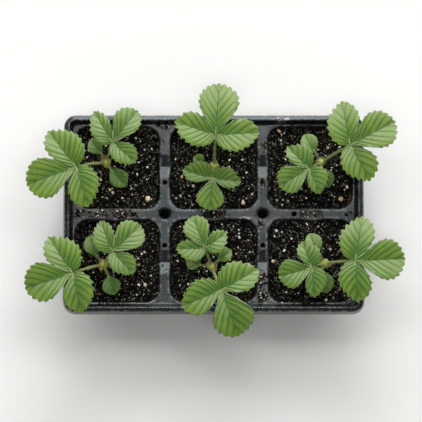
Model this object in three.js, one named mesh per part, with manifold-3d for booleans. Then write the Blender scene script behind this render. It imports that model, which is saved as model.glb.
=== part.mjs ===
// Six young strawberry plants growing in one black six-cell seedling tray.
// Units are millimetres, +Z is up, and the tray stands on Z = 0.

import * as THREE from "three";
import { mergeVertices } from "three/addons/utils/BufferGeometryUtils.js";
import Module from "manifold-3d";

const wasm = await Module();
wasm.setup();

// Gap kept between pieces that touch
const GAP = 0.3;

// How far a cutter runs past the faces that it cuts
const PAST = 1;

// Tray: one thin moulded sheet with a raised rim and skirt round a sunk deck
const TRAY = {
  length: 191.5,
  depth: 127,
  height: 55,
  cornerRadius: 8,
  cornerSteps: 4,
  wall: 1.2,
  rimWidth: 4,
  rimSlope: 1.8,
  leastRadius: 1,
  deckDrop: 6,
  deckRadius: 2,
  deckSteps: 2,
  skirtDrop: 11,
  skirtFlare: 1.3,
  edgeRound: 0.6,
};

// Cells: three columns and two rows of tapered cups that hang from the deck
const CELL = {
  columns: 3,
  rows: 2,
  divider: 6.4,
  topRadius: 9,
  floorLength: 42,
  floorDepth: 40.5,
  floorRadius: 6,
  floorRound: 1.8,
  cornerSteps: 3,
  drainRadius: 5,
  drainSides: 10,
};

// Saddle notches at the middle of each divider, which join neighbouring cells
const NOTCH = { width: 14, floor: 3, depth: 6, reach: 7 };

// Round holes through the deck: a large one at each crossing, and small ones in the dividers, each
// the same distance out from its crossing
const CROSSING_HOLE = { radius: 3.1, sides: 12 };
const SMALL_HOLE = { radius: 1.5, sides: 6, out: 20 };

// Soil: a fill for each cell, slightly mounded, with pale grains that stand out of it
const SOIL = {
  level: 45.4,
  mound: 1.1,
  roughness: 0.55,
  rings: [1, 0.72, 0.38],
  grains: 7,
  grainSize: [0.9, 1.9],
  grainDepth: [0.7, 1.1],
  grainHeight: 0.9,
  grainReach: 0.38,
};

// Crown: the short stem base of a plant, standing in a plain hole in the soil. Its profile has
// shares of the radius and the heights where they lie.
const CROWN = {
  foot: 38,
  top: 51.8,
  radius: 3.1,
  profile: [[0.8, 38], [0.9, 45.4], [1, 48.8], [0.65, 51.1]],
  sides: 8,
};

// Stipules: papery bracts that lean out from the crown where the petioles leave room, in degrees
const STIPULE = { length: 6.5, radius: 1.1, sides: 4, flat: 0.6, lean: 0.5, out: 0.75, sunk: 1, room: 75 };

// Petioles: round stalks, thick on the large leaves and thin on the small ones. They bend at a share
// of the way out and of the way up.
const PETIOLE = { sides: 5, steps: 5, start: 1.7, depth: 2.6, bendOut: 0.4, bendUp: 0.8, past: 0.3 };

// Blades: where they start behind the joint, how far the end one lies above the side ones, how much
// of the fold curls back at the edge, the middle row's share of the width, and the share of the
// length over which the stalk widens the foot
const BLADE = { start: -1, lift: 0.4, curl: 0.9, middle: 0.55, foot: 0.25 };

// Edges of a blade's halves: the power that puts the widest place near the stalk or near the tip, the
// powers that round the edge below and beyond it, and the share of the edge that has no teeth
const EDGES = {
  end: { early: 1.5, below: 0.85, beyond: 0.5, plain: 0.3 },
  narrow: { early: 1.3, below: 0.75, beyond: 0.5, plain: 0.3 },
  full: { early: 0.8, below: 0.43, beyond: 0.62, plain: 0.2 },
  oval: { early: 1.12, below: 0.66, beyond: 0.66, plain: 0.25 },
};

// Teeth: each rises slowly to its peak and falls back steeply, and the tip is the last one
const TOOTH = { peak: 0.68, tip: 0.55, plainSteps: [0.35, 0.7] };

// Leaf classes: how the blades are folded, arched and toothed, and the shares of the length at
// which their inner points lie
const LARGE = {
  blade: 0.85,
  stalk: 0.95,
  fold: 0.3,
  pitch: 0.26,
  droop: 0.38,
  toothPitch: 4.3,
  toothDepth: 1.3,
  stations: [0.2, 0.48, 0.78],
};
const MID = {
  blade: 0.8,
  stalk: 0.85,
  fold: 0.32,
  pitch: 0.26,
  droop: 0.34,
  toothPitch: 3.5,
  toothDepth: 1.1,
  stations: [0.22, 0.5, 0.78],
};
const SMALL = {
  blade: 0.75,
  stalk: 0.65,
  fold: 0.34,
  pitch: 0.3,
  droop: 0.3,
  toothPitch: 3.2,
  toothDepth: 0.75,
  stations: [0.35, 0.7],
};

// Plants: plan places from the tray's centre, with +Y at the back. A leaf has the place and the
// height of its joint. A leaflet has its heading in degrees, its length, and its half-widths to the
// left and to the right of its midrib. A young leaf is one such blade on a short stalk.
const PLANTS = [
  {
    name: "back_left",
    crown: [-68.4, 33],
    large: {
      joint: [-85.7, 26.8, 79],
      end: [-160, 32.8, 13.2, 13.1],
      sides: [[128, 28.9, 9.2, 13.7], [-73, 26, 12.2, 9.8]],
    },
    mid: {
      joint: [-63.7, 43.8, 65],
      end: [52, 25.8, 10.1, 8],
      sides: [[-41, 19.4, 7.6, 8.5], [121, 23.3, 9.3, 5.8]],
    },
    young: [[[-71.1, 37.8, 54.5], [129, 11.5, 5.1, 5.1]], [[-65.1, 27.9, 53.5], [-49, 14.5, 6, 6]]],
  },
  {
    name: "back_middle",
    crown: [0.2, 30.4],
    large: {
      joint: [1.1, 46.4, 81],
      end: [86, 33.1, 12.3, 13.7],
      sides: [[4, 27.6, 9.7, 12], [161, 27.1, 11.6, 9.9]],
    },
    mid: {
      joint: [-1.1, 20.9, 66],
      end: [-93, 20.1, 8.6, 9.8],
      sides: [[163, 19.4, 6.3, 8.8], [-6, 18.4, 8.7, 5.9]],
    },
    young: [[[-5.6, 31.3, 55], [149, 8.5, 4.1, 4.1]]],
  },
  {
    name: "back_right",
    crown: [68.2, 33],
    large: {
      joint: [84.9, 40.6, 78],
      end: [28, 32.4, 12.4, 12.4],
      sides: [[-61, 25.5, 11, 12], [100, 28.4, 12.9, 9.3]],
    },
    mid: {
      joint: [59.7, 27.4, 65],
      end: [-148, 22, 9.1, 9.6],
      sides: [[134, 19.4, 6, 9.6], [-66, 17.5, 10.2, 5.2]],
    },
    young: [[[64.2, 39, 55], [123, 13, 5.7, 5.7]], [[68, 28.2, 53.5], [-67, 13, 5.7, 5.7]]],
  },
  {
    name: "front_left",
    crown: [-70, -31.9],
    large: {
      joint: [-87.5, -39.3, 79],
      end: [-162, 31.1, 12.4, 13.1],
      sides: [[124, 27.3, 9.2, 13], [-77, 25.4, 11.7, 9.6]],
    },
    mid: {
      joint: [-63.5, -24.9, 66],
      end: [42, 24.4, 10, 9.9],
      sides: [[-47, 19.4, 8, 8.5], [112, 20.9, 9.6, 5.9]],
    },
    young: [[[-74, -27, 54.5], [111, 13.5, 5.7, 5.7]], [[-66.4, -39.7, 53.5], [-72, 12.5, 6, 6]]],
  },
  {
    name: "front_middle",
    crown: [-1.4, -33.5],
    large: {
      joint: [4.5, -50.1, 80],
      end: [-69, 30.3, 14.5, 12.4],
      sides: [[-158, 26.7, 10, 12.2], [30, 26.6, 12.9, 9]],
    },
    mid: {
      joint: [-5.3, -22.9, 66],
      end: [112, 21.8, 9.2, 8],
      sides: [[36, 16.8, 5.9, 8.5], [-178, 18.4, 8.9, 6]],
    },
    young: [[[2.7, -30.2, 55], [40, 11, 4.4, 4.4]], [[-8, -32.7, 54], [162, 10, 5.1, 5.1]]],
  },
  {
    name: "front_right",
    crown: [70.4, -31.3],
    large: {
      joint: [87.6, -31.5, 79],
      end: [2, 31.4, 13, 13.4],
      sides: [[-86, 25.9, 9.6, 11.9], [80, 28.3, 12.8, 9.9]],
    },
    mid: {
      joint: [61.3, -35, 65],
      end: [-164, 21.6, 9.9, 9.2],
      sides: [[110, 17.5, 6, 9], [-84, 18.9, 9.2, 5.6]],
    },
    young: [[[65.9, -25.1, 55], [115, 13.5, 5.7, 5.7]], [[67.7, -36.5, 53.5], [-75, 14.5, 6.3, 6.3]]],
  },
];

// Colours and finishes
const BLACK_PLASTIC = { color: 0x23262b, roughness: 0.55, metalness: 0 };
const DARK_SOIL = { color: 0x2b241f, roughness: 1, metalness: 0 };
const CROWN_GREEN = { color: 0x9aa35c, roughness: 0.7, metalness: 0 };
const LARGE_GREEN = { color: 0x7ba653, roughness: 0.6, metalness: 0 };
const MID_GREEN = { color: 0x5f9547, roughness: 0.6, metalness: 0 };
const YOUNG_GREEN = { color: 0x4f8a48, roughness: 0.6, metalness: 0 };

// Sizes worked out from the driving dimensions
const DECK = TRAY.height - TRAY.deckDrop;
const DECK_INSET = TRAY.rimWidth + TRAY.rimSlope;
const DECK_LENGTH = TRAY.length - 2 * DECK_INSET;
const DECK_DEPTH = TRAY.depth - 2 * DECK_INSET;
const OPENING_LENGTH = (DECK_LENGTH - (CELL.columns - 1) * CELL.divider) / CELL.columns;
const OPENING_DEPTH = (DECK_DEPTH - (CELL.rows - 1) * CELL.divider) / CELL.rows;
const PITCH_X = OPENING_LENGTH + CELL.divider;
const PITCH_Y = OPENING_DEPTH + CELL.divider;

// A random number from 0 to 1 for each call, the same on each run
function seededRandom(seed) {
  let state = seed;
  return () => {
    state = (state * 1664525 + 1013904223) % 4294967296;
    return state / 4294967296;
  };
}

// A random number from -1 to 1
function eitherWay(random) {
  return 2 * random() - 1;
}

function degrees(angle) {
  return THREE.MathUtils.degToRad(angle);
}

// A closed geometry as a solid that can be joined and cut
function solid(geometry) {
  const bare = geometry.clone();
  bare.deleteAttribute("normal");
  bare.deleteAttribute("uv");
  const merged = mergeVertices(bare, 1e-4);
  const mesh = new wasm.Mesh({
    numProp: 3,
    vertProperties: Float32Array.from(merged.attributes.position.array),
    triVerts: Uint32Array.from(merged.index.array),
  });
  return new wasm.Manifold(mesh);
}

function geometryOf(body) {
  const mesh = body.getMesh();
  const geometry = new THREE.BufferGeometry();
  geometry.setAttribute("position", new THREE.BufferAttribute(mesh.vertProperties, 3));
  geometry.setIndex(new THREE.BufferAttribute(mesh.triVerts, 1));
  return geometry;
}

function joined(bodies) {
  return bodies.reduce((whole, body) => whole.add(body));
}

// The body without loose scraps, and with any sealed pocket between crossing blades filled
function wholeOnly(body) {
  return body.decompose().reduce((most, part) => (part.volume() > most.volume() ? part : most));
}

// Points of a rounded rectangle, counter-clockwise, with the same count for any size
function roundedRectangle(length, depth, radius, steps) {
  const points = [];
  for (let corner = 0; corner < 4; corner += 1) {
    const signX = corner === 0 || corner === 3 ? 1 : -1;
    const signY = corner < 2 ? 1 : -1;
    const centreX = signX * (length / 2 - radius);
    const centreY = signY * (depth / 2 - radius);
    for (let step = 0; step <= steps; step += 1) {
      const angle = (Math.PI / 2) * (corner + step / steps);
      points.push(new THREE.Vector2(centreX + radius * Math.cos(angle), centreY + radius * Math.sin(angle)));
    }
  }
  return points;
}

// Loops stacked into a closed body: each is a list of points in space, with the same count
function loft(loops, { ring = false } = {}) {
  const count = loops[0].length;
  const positions = loops.flat().flatMap((point) => [point.x, point.y, point.z]);
  const index = [];
  const bands = ring ? loops.length : loops.length - 1;
  for (let band = 0; band < bands; band += 1) {
    const low = band * count;
    const high = ((band + 1) % loops.length) * count;
    for (let i = 0; i < count; i += 1) {
      const next = (i + 1) % count;
      index.push(low + i, low + next, high + next, low + i, high + next, high + i);
    }
  }
  if (!ring) {
    const last = (loops.length - 1) * count;
    for (let i = 1; i < count - 1; i += 1) {
      index.push(0, i + 1, i, last, last + i, last + i + 1);
    }
  }
  const geometry = new THREE.BufferGeometry();
  geometry.setAttribute("position", new THREE.Float32BufferAttribute(positions, 3));
  geometry.setIndex(index);
  return geometry;
}

function at(points, height, x = 0, y = 0) {
  return points.map((point) => new THREE.Vector3(point.x + x, point.y + y, height));
}

// An upright round pin through the given heights, for holes
function pin(x, y, radius, sides, low, high) {
  const geometry = new THREE.CylinderGeometry(radius, radius, high - low, sides);
  geometry.rotateX(Math.PI / 2);
  geometry.translate(x, y, (low + high) / 2);
  return solid(geometry);
}

function cellCentres() {
  const centres = [];
  for (let row = CELL.rows - 1; row >= 0; row -= 1) {
    for (let column = 0; column < CELL.columns; column += 1) {
      const x = (column - (CELL.columns - 1) / 2) * PITCH_X;
      const y = (row - (CELL.rows - 1) / 2) * PITCH_Y;
      centres.push([x, y]);
    }
  }
  return centres;
}

// Tray rim: a profile of inset and height, carried round the tray's outline
function rimRing() {
  const { wall, edgeRound, skirtFlare, height, rimWidth } = TRAY;
  const foot = height - TRAY.skirtDrop;
  const underDeck = DECK - wall;
  const profile = [
    [0, foot],
    [skirtFlare, height - 2 * edgeRound],
    [skirtFlare + edgeRound, height],
    [rimWidth - edgeRound, height],
    [rimWidth, height - edgeRound],
    [DECK_INSET, DECK],
    [DECK_INSET + wall, DECK],
    [DECK_INSET + wall, underDeck],
    [DECK_INSET - wall, underDeck],
    [rimWidth - wall, height - wall - edgeRound],
    [skirtFlare + edgeRound + wall, height - wall],
    [wall, foot],
  ];
  const loops = profile.map(([inset, z]) => {
    const radius = Math.max(TRAY.cornerRadius - inset, TRAY.leastRadius);
    const length = TRAY.length - 2 * inset;
    const depth = TRAY.depth - 2 * inset;
    return at(roundedRectangle(length, depth, radius, TRAY.cornerSteps), z);
  });
  return solid(loft(loops, { ring: true }));
}

// The tapered inside or outside of a cell at one height, grown or shrunk by an offset
function cellLoop(x, y, height, offset) {
  const rise = height / DECK;
  const length = THREE.MathUtils.lerp(CELL.floorLength, OPENING_LENGTH, rise) + 2 * offset;
  const depth = THREE.MathUtils.lerp(CELL.floorDepth, OPENING_DEPTH, rise) + 2 * offset;
  const radius = THREE.MathUtils.lerp(CELL.floorRadius, CELL.topRadius, rise) + offset;
  return at(roundedRectangle(length, depth, radius, CELL.cornerSteps), height, x, y);
}

function cellBody(x, y, low, high, offset) {
  const loops = [
    cellLoop(x, y, low, offset - CELL.floorRound),
    cellLoop(x, y, low + CELL.floorRound, offset),
    cellLoop(x, y, high, offset),
  ];
  return solid(loft(loops));
}

// A saddle across a divider: a trough with sloping ends, open to the cells on both sides
function saddle(x, y, turn, offset, reach) {
  const shape = new THREE.Shape();
  const top = DECK + (offset > 0 ? -TRAY.wall / 2 : PAST);
  const halfTop = NOTCH.width / 2 + offset;
  const halfFloor = NOTCH.floor / 2 + offset;
  shape.moveTo(-halfTop, top);
  shape.lineTo(-halfTop, DECK - TRAY.wall);
  shape.lineTo(-halfFloor, DECK - NOTCH.depth - offset);
  shape.lineTo(halfFloor, DECK - NOTCH.depth - offset);
  shape.lineTo(halfTop, DECK - TRAY.wall);
  shape.lineTo(halfTop, top);
  const geometry = new THREE.ExtrudeGeometry(shape, { depth: 2 * reach, bevelEnabled: false });
  geometry.translate(0, 0, -reach);
  geometry.rotateX(Math.PI / 2);
  geometry.rotateZ(turn);
  geometry.translate(x, y, 0);
  return solid(geometry);
}

function saddlePlaces() {
  const places = [];
  for (const [x, y] of cellCentres()) {
    if (x + PITCH_X < DECK_LENGTH / 2) {
      places.push([x + PITCH_X / 2, y, Math.PI / 2]);
    }
    if (y > 0) {
      places.push([x, 0, 0]);
    }
  }
  return places;
}

function deckHoles() {
  const low = DECK - TRAY.wall - PAST;
  const high = DECK + PAST;
  const small = (x, y) => pin(x, y, SMALL_HOLE.radius, SMALL_HOLE.sides, low, high);
  const holes = [];
  for (const side of [-1, 1]) {
    const x = (side * PITCH_X) / 2;
    holes.push(pin(x, 0, CROSSING_HOLE.radius, CROSSING_HOLE.sides, low, high));
    holes.push(small(x, SMALL_HOLE.out), small(x, -SMALL_HOLE.out), small(x + side * SMALL_HOLE.out, 0));
  }
  return joined(holes);
}

function trayBody() {
  const { wall, deckRadius, deckSteps } = TRAY;
  const deckLoop = roundedRectangle(DECK_LENGTH + wall, DECK_DEPTH + wall, deckRadius, deckSteps);
  const plate = solid(loft([at(deckLoop, DECK - wall), at(deckLoop, DECK)]));
  const cups = cellCentres().map(([x, y]) => cellBody(x, y, 0, DECK - wall / 2, wall));
  const troughs = saddlePlaces().map(([x, y, turn]) => saddle(x, y, turn, wall, NOTCH.reach - PAST));
  const outside = joined([rimRing(), plate, ...cups, ...troughs]);
  const insides = cellCentres().map(([x, y]) => cellBody(x, y, wall, DECK + PAST, 0));
  const cuts = saddlePlaces().map(([x, y, turn]) => saddle(x, y, turn, 0, NOTCH.reach));
  const drain = ([x, y]) => pin(x, y, CELL.drainRadius, CELL.drainSides, -PAST, wall + PAST);
  const drains = cellCentres().map(drain);
  return outside.subtract(joined([...insides, ...cuts, ...drains])).subtract(deckHoles());
}

// Soil: rounded loops that shrink to the middle, each point lifted by the mound and by chance
function soilBody(x, y, crown, seed) {
  const random = seededRandom(seed);
  const low = TRAY.wall + GAP;
  const foot = [cellLoop(x, y, low, -GAP - CELL.floorRound), cellLoop(x, y, low + CELL.floorRound, -GAP)];
  const edge = cellLoop(x, y, SOIL.level, -GAP);
  const rings = SOIL.rings.map((share) =>
    edge.map((point) => {
      const lift = SOIL.mound * (1 - share ** 2) + SOIL.roughness * eitherWay(random);
      return new THREE.Vector3(x + (point.x - x) * share, y + (point.y - y) * share, SOIL.level + lift);
    }),
  );
  let body = solid(loft([...foot, ...rings]));
  for (let i = 0; i < SOIL.grains; i += 1) {
    body = body.add(grain(x, y, random));
  }
  const hole = pin(crown[0], crown[1], CROWN.radius + GAP, CROWN.sides, CROWN.foot - GAP, TRAY.height);
  return body.subtract(hole);
}

// A pale grain: an uneven eight-sided lump, sunk to its middle in the soil
function grain(x, y, random) {
  const size = THREE.MathUtils.lerp(...SOIL.grainSize, random() ** 2);
  const geometry = new THREE.OctahedronGeometry(size);
  geometry.scale(1, THREE.MathUtils.lerp(...SOIL.grainDepth, random()), SOIL.grainHeight);
  geometry.rotateZ(2 * Math.PI * random());
  const side = eitherWay(random) * SOIL.grainReach * OPENING_LENGTH;
  const along = eitherWay(random) * SOIL.grainReach * OPENING_DEPTH;
  geometry.translate(x + side, y + along, SOIL.level + SOIL.mound / 2);
  return solid(geometry);
}

// The crown's own shape, grown by an offset for the room that the petioles leave round it
function crownBody([x, y], offset) {
  const profile = CROWN.profile.map(([share, z]) => [share * CROWN.radius + offset, z + offset]);
  const whole = [[0, CROWN.foot + offset], ...profile, [0, CROWN.top + offset]];
  const points = whole.map(([r, z]) => new THREE.Vector2(r, z));
  const geometry = new THREE.LatheGeometry(points, CROWN.sides);
  geometry.rotateX(Math.PI / 2);
  geometry.translate(x, y, 0);
  return solid(geometry);
}

// Papery bracts at the crown, one in each wide gap between neighbouring petioles
function stipules(plant) {
  const headings = leavesOf(plant).map(({ joint }) => heading(plant.crown, joint));
  headings.sort((a, b) => a - b);
  const bodies = [];
  headings.forEach((angle, i) => {
    const next = i + 1 < headings.length ? headings[i + 1] : headings[0] + 2 * Math.PI;
    if (next - angle < degrees(STIPULE.room)) {
      return;
    }
    const geometry = new THREE.ConeGeometry(STIPULE.radius, STIPULE.length, STIPULE.sides);
    geometry.scale(1, 1, STIPULE.flat);
    geometry.rotateX(Math.PI / 2 - STIPULE.lean);
    geometry.translate(0, CROWN.radius * STIPULE.out, CROWN.top - STIPULE.sunk);
    geometry.rotateZ((angle + next) / 2 - Math.PI / 2);
    geometry.translate(plant.crown[0], plant.crown[1], 0);
    bodies.push(solid(geometry));
  });
  return bodies;
}

function heading(from, to) {
  return Math.atan2(to[1] - from[1], to[0] - from[0]);
}

function leavesOf(plant) {
  const leaves = [
    { kind: LARGE, joint: plant.large.joint, blades: [plant.large.end, ...plant.large.sides] },
    { kind: MID, joint: plant.mid.joint, blades: [plant.mid.end, ...plant.mid.sides] },
  ];
  for (const [joint, blade] of plant.young) {
    leaves.push({ kind: SMALL, joint, blades: [blade] });
  }
  return leaves;
}

// How wide half a blade is along its midrib, from 0 at the stalk to 1 at the widest place
function bladeShape(along, { early, below, beyond }) {
  const way = along ** early;
  return Math.sin(Math.PI * way) ** (way < 0.5 ? below : beyond);
}

// The edge of half a blade without its teeth, from the stalk to the tip
class BladeEdge extends THREE.Curve {
  constructor(kind, length, width, style) {
    super();
    Object.assign(this, { kind, length, width, style });
  }

  getPoint(v, target = new THREE.Vector2()) {
    const along = Math.sin((Math.PI / 2) * v);
    const stalk = this.kind.stalk * (1 - along / BLADE.foot);
    return target.set(this.length * along, Math.max(this.width * bladeShape(along, this.style), stalk));
  }
}

// One edge of the blade: teeth evenly spaced along it, with notches cut in square to it
function toothedEdge(kind, length, width, style) {
  const edge = new BladeEdge(kind, length, width, style);
  const { plain } = style;
  const teeth = Math.round(((1 - plain) * edge.getLength()) / kind.toothPitch - TOOTH.tip);
  const step = (1 - plain) / (teeth + TOOTH.tip);
  const points = TOOTH.plainSteps.map((share) => edge.getPointAt(share * plain));
  for (let tooth = 0; tooth <= teeth; tooth += 1) {
    const foot = plain + tooth * step;
    const notch = edge.getPointAt(foot);
    const tangent = edge.getTangentAt(foot);
    notch.x += tangent.y * kind.toothDepth;
    notch.y -= tangent.x * kind.toothDepth;
    points.push(notch);
    if (tooth < teeth) {
      points.push(edge.getPointAt(foot + TOOTH.peak * step));
    }
  }
  return [new THREE.Vector2(BLADE.start, kind.stalk), ...points];
}

// Height of a blade: an arched midrib, halves that rise from it and curl over at the edge
function bladeHeight(kind, length, width, x, y) {
  const arch = kind.pitch * x - (kind.droop * x * Math.abs(x)) / length;
  const side = Math.abs(y);
  return arch + kind.fold * side * (1 - (BLADE.curl * side) / width);
}

// Triangles between two rows of points, taken in turn by how far along the blade they are
function zip(rowA, rowB, flip) {
  const triangles = [];
  let a = 0;
  let b = 0;
  while (a < rowA.length - 1 || b < rowB.length - 1) {
    const nextA = a < rowA.length - 1 ? rowA[a + 1].x : Infinity;
    const nextB = b < rowB.length - 1 ? rowB[b + 1].x : Infinity;
    const triangle = [rowA[a].id];
    if (nextA <= nextB) {
      triangle.push(rowA[a + 1].id, rowB[b].id);
      a += 1;
    } else {
      triangle.push(rowB[b + 1].id, rowB[b].id);
      b += 1;
    }
    triangles.push(flip ? triangle.reverse() : triangle);
  }
  return triangles;
}

// The edge style of half a blade: a side blade is fuller on its wider half
function edgeStyle(kind, width, left, right, isEnd) {
  if (kind === SMALL) {
    return EDGES.oval;
  }
  if (isEnd) {
    return EDGES.end;
  }
  return width === Math.max(left, right) ? EDGES.full : EDGES.narrow;
}

// A blade with its midrib along +X and its stalk end at the origin. Both faces share one set of
// triangles, and a band closes them along the edge.
function bladeGeometry(kind, length, left, right, isEnd) {
  const vertices = [];
  const add = (x, y, width) => {
    vertices.push(new THREE.Vector3(x, y, bladeHeight(kind, length, width, x, y)));
    return { x, id: vertices.length - 1 };
  };
  const rib = [BLADE.start, ...kind.stations.map((share) => share * length)].map((x) => add(x, 0, left));
  const tip = add(length, 0, left);
  const triangles = [];
  const edges = [left, right].map((width, i) => {
    const sign = i === 0 ? 1 : -1;
    const style = edgeStyle(kind, width, left, right, isEnd);
    const edge = toothedEdge(kind, length, width, style).map((p) => add(p.x, sign * p.y, width));
    const flip = i === 1;
    const turned = (triangle) => (flip ? triangle.reverse() : triangle);
    if (kind === SMALL) {
      triangles.push(...zip(rib, edge, flip));
      triangles.push(turned([rib.at(-1).id, tip.id, edge.at(-1).id]));
      return edge;
    }
    const middle = kind.stations.map((share) => {
      const half = BLADE.middle * width * bladeShape(share, style);
      return add(share * length, sign * half, width);
    });
    triangles.push(turned([rib[0].id, middle[0].id, edge[0].id]));
    triangles.push(...zip(rib, middle, flip), ...zip(middle, edge, flip));
    triangles.push(turned([rib.at(-1).id, tip.id, middle.at(-1).id]));
    triangles.push(turned([middle.at(-1).id, tip.id, edge.at(-1).id]));
    return edge;
  });
  const border = [rib[0], ...edges[1], tip, ...edges[0].reverse()].map((point) => point.id);
  const count = vertices.length;
  const index = triangles.flatMap(([a, b, c]) => [a, b, c, a + count, c + count, b + count]);
  border.forEach((id, i) => {
    const next = border[(i + 1) % border.length];
    index.push(id, id + count, next + count, id, next + count, next);
  });
  const faces = [0, kind.blade].map((drop) => vertices.flatMap((p) => [p.x, p.y, p.z - drop]));
  const geometry = new THREE.BufferGeometry();
  geometry.setAttribute("position", new THREE.Float32BufferAttribute(faces.flat(), 3));
  geometry.setIndex(index);
  return geometry;
}

// A stalk that leaves the crown steeply and bends over towards the leaf's joint
function petiole(kind, crown, joint) {
  const turn = heading(crown, joint);
  const out = (distance) => [crown[0] + distance * Math.cos(turn), crown[1] + distance * Math.sin(turn)];
  const reach = Math.hypot(joint[0] - crown[0], joint[1] - crown[1]);
  const foot = CROWN.top - PETIOLE.depth;
  const bendHeight = foot + PETIOLE.bendUp * (joint[2] - foot);
  const start = new THREE.Vector3(...out(PETIOLE.start), foot);
  const bend = new THREE.Vector3(...out(PETIOLE.bendOut * reach + PETIOLE.start), bendHeight);
  const end = new THREE.Vector3(...out(reach + PETIOLE.past), joint[2] - kind.blade / 2);
  const section = new THREE.Shape();
  for (let i = 0; i < PETIOLE.sides; i += 1) {
    const angle = (2 * Math.PI * i) / PETIOLE.sides;
    section[i === 0 ? "moveTo" : "lineTo"](kind.stalk * Math.cos(angle), kind.stalk * Math.sin(angle));
  }
  const path = new THREE.QuadraticBezierCurve3(start, bend, end);
  return solid(new THREE.ExtrudeGeometry(section, { steps: PETIOLE.steps, extrudePath: path }));
}

// A whole leaf: its stalk and its blades, the end one a little above the two side ones
function leafBody(plant, { kind, joint, blades }) {
  const parts = [petiole(kind, plant.crown, joint)];
  blades.forEach(([turn, length, left, right], i) => {
    const isEnd = i === 0;
    const geometry = bladeGeometry(kind, length, left, right, isEnd);
    geometry.rotateZ(degrees(turn));
    geometry.translate(joint[0], joint[1], joint[2] + (isEnd ? BLADE.lift : 0));
    parts.push(solid(geometry));
  });
  return wholeOnly(joined(parts).subtract(crownBody(plant.crown, GAP)));
}

function addPiece(group, name, body, look) {
  const mesh = new THREE.Mesh(geometryOf(body), new THREE.MeshStandardMaterial(look));
  mesh.name = name;
  group.add(mesh);
}

function build() {
  const group = new THREE.Group();
  addPiece(group, "tray", trayBody(), BLACK_PLASTIC);
  const centres = cellCentres();
  PLANTS.forEach((plant, i) => {
    const [x, y] = centres[i];
    addPiece(group, `soil_${plant.name}`, soilBody(x, y, plant.crown, 11 + i), DARK_SOIL);
    const crown = joined([crownBody(plant.crown, 0), ...stipules(plant)]);
    addPiece(group, `crown_${plant.name}`, crown, CROWN_GREEN);
    const [large, mid, ...young] = leavesOf(plant);
    addPiece(group, `large_leaf_${plant.name}`, leafBody(plant, large), LARGE_GREEN);
    addPiece(group, `mid_leaf_${plant.name}`, leafBody(plant, mid), MID_GREEN);
    young.forEach((leaf, n) => {
      addPiece(group, `young_leaf_${n + 1}_${plant.name}`, leafBody(plant, leaf), YOUNG_GREEN);
    });
  });
  return group;
}

// The whole object is centred over the origin, which lies on the surface it stands on
const plants = build();
const middle = new THREE.Box3().setFromObject(plants).getCenter(new THREE.Vector3());
plants.position.set(-middle.x, -middle.y, 0);

export default plants;
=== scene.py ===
"""Six young strawberry plants in a black six-cell seedling tray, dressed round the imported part.

Sizes are in millimetres from the tray's centre, +X to the right, +Y to the back, Z from the floor
up. Each shape is worked out as whole arrays and is put into metres and into the row frame last.
"""

import logging
import math
from dataclasses import dataclass, field
from enum import Enum

import bpy
import numpy as np
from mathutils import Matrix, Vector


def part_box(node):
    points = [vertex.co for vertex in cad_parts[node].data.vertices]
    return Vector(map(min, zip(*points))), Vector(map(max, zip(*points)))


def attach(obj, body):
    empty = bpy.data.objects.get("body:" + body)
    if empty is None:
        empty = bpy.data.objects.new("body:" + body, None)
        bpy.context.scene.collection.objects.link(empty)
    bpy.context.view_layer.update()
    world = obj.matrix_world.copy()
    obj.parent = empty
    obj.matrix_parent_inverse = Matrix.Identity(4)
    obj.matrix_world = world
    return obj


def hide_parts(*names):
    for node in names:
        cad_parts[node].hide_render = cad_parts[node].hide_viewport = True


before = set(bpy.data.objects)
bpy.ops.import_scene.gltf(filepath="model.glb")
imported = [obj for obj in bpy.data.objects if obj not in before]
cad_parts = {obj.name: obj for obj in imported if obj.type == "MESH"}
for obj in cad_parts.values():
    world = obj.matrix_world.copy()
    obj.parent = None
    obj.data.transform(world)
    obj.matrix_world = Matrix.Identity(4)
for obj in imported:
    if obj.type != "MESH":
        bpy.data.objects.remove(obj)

log = logging.getLogger("strawberry_tray")

Array = np.ndarray
Colour = tuple[float, float, float]
Node = bpy.types.Node
Plan = tuple[float, float]
Point = tuple[float, float, float]
Random = np.random.Generator
Socket = bpy.types.NodeSocket

MM = 0.001

# Heights of the tray's rim and deck, and how far apart its cells are
RIM_TOP = 55.0
DECK = 49.0
PITCH_X = 62.1
PITCH_Y = 60.9

# How many teeth of a leaf's edge one unit of its uv takes in
UV_TEETH = 16


# ---------------------------------------------------------------- surfaces


@dataclass
class Surface:
    """A mesh in the making.

    Args:
        points: one row of x, y, z for each point.
        triangles: one row of three point numbers for each triangle.
        uv: one row of u, v for each corner of each triangle, or None.
        marks: named numbers, one for each point, that materials read.
        finish: the number of the material slot of each triangle, or None for the first.
    """

    points: Array
    triangles: Array
    uv: Array | None = None
    marks: dict[str, Array] = field(default_factory=dict)
    finish: Array | None = None

    def slots(self) -> Array:
        """The material slot of each triangle."""
        return np.zeros(len(self.triangles), int) if self.finish is None else self.finish

    def marked(self, **values: float | Array) -> "Surface":
        """The same surface with marks set, each to one number or to one for each point."""
        for name, value in values.items():
            self.marks[name] = np.broadcast_to(np.asarray(value, float), len(self.points)).copy()
        return self

    def in_slot(self, slot: int) -> "Surface":
        """The same surface with all its triangles in one material slot."""
        self.finish = np.full(len(self.triangles), slot)
        return self


def sheet_triangles(rows: int, columns: int, closed: bool = False) -> Array:
    """Triangles of a grid of points, which face along (row direction) x (column direction).

    Args:
        rows: how many rows of points.
        columns: how many points in each row.
        closed: True if the last row joins the first.

    Returns:
        Rows of three point numbers, where point number = row * columns + column.
    """
    bands = rows if closed else rows - 1
    i, j = np.meshgrid(np.arange(bands), np.arange(columns - 1), indexing="ij")
    near, far = i * columns + j, ((i + 1) % rows) * columns + j
    halves = ([near, far, far + 1], [near, far + 1, near + 1])
    return np.concatenate([np.stack(half, -1).reshape(-1, 3) for half in halves])


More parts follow.
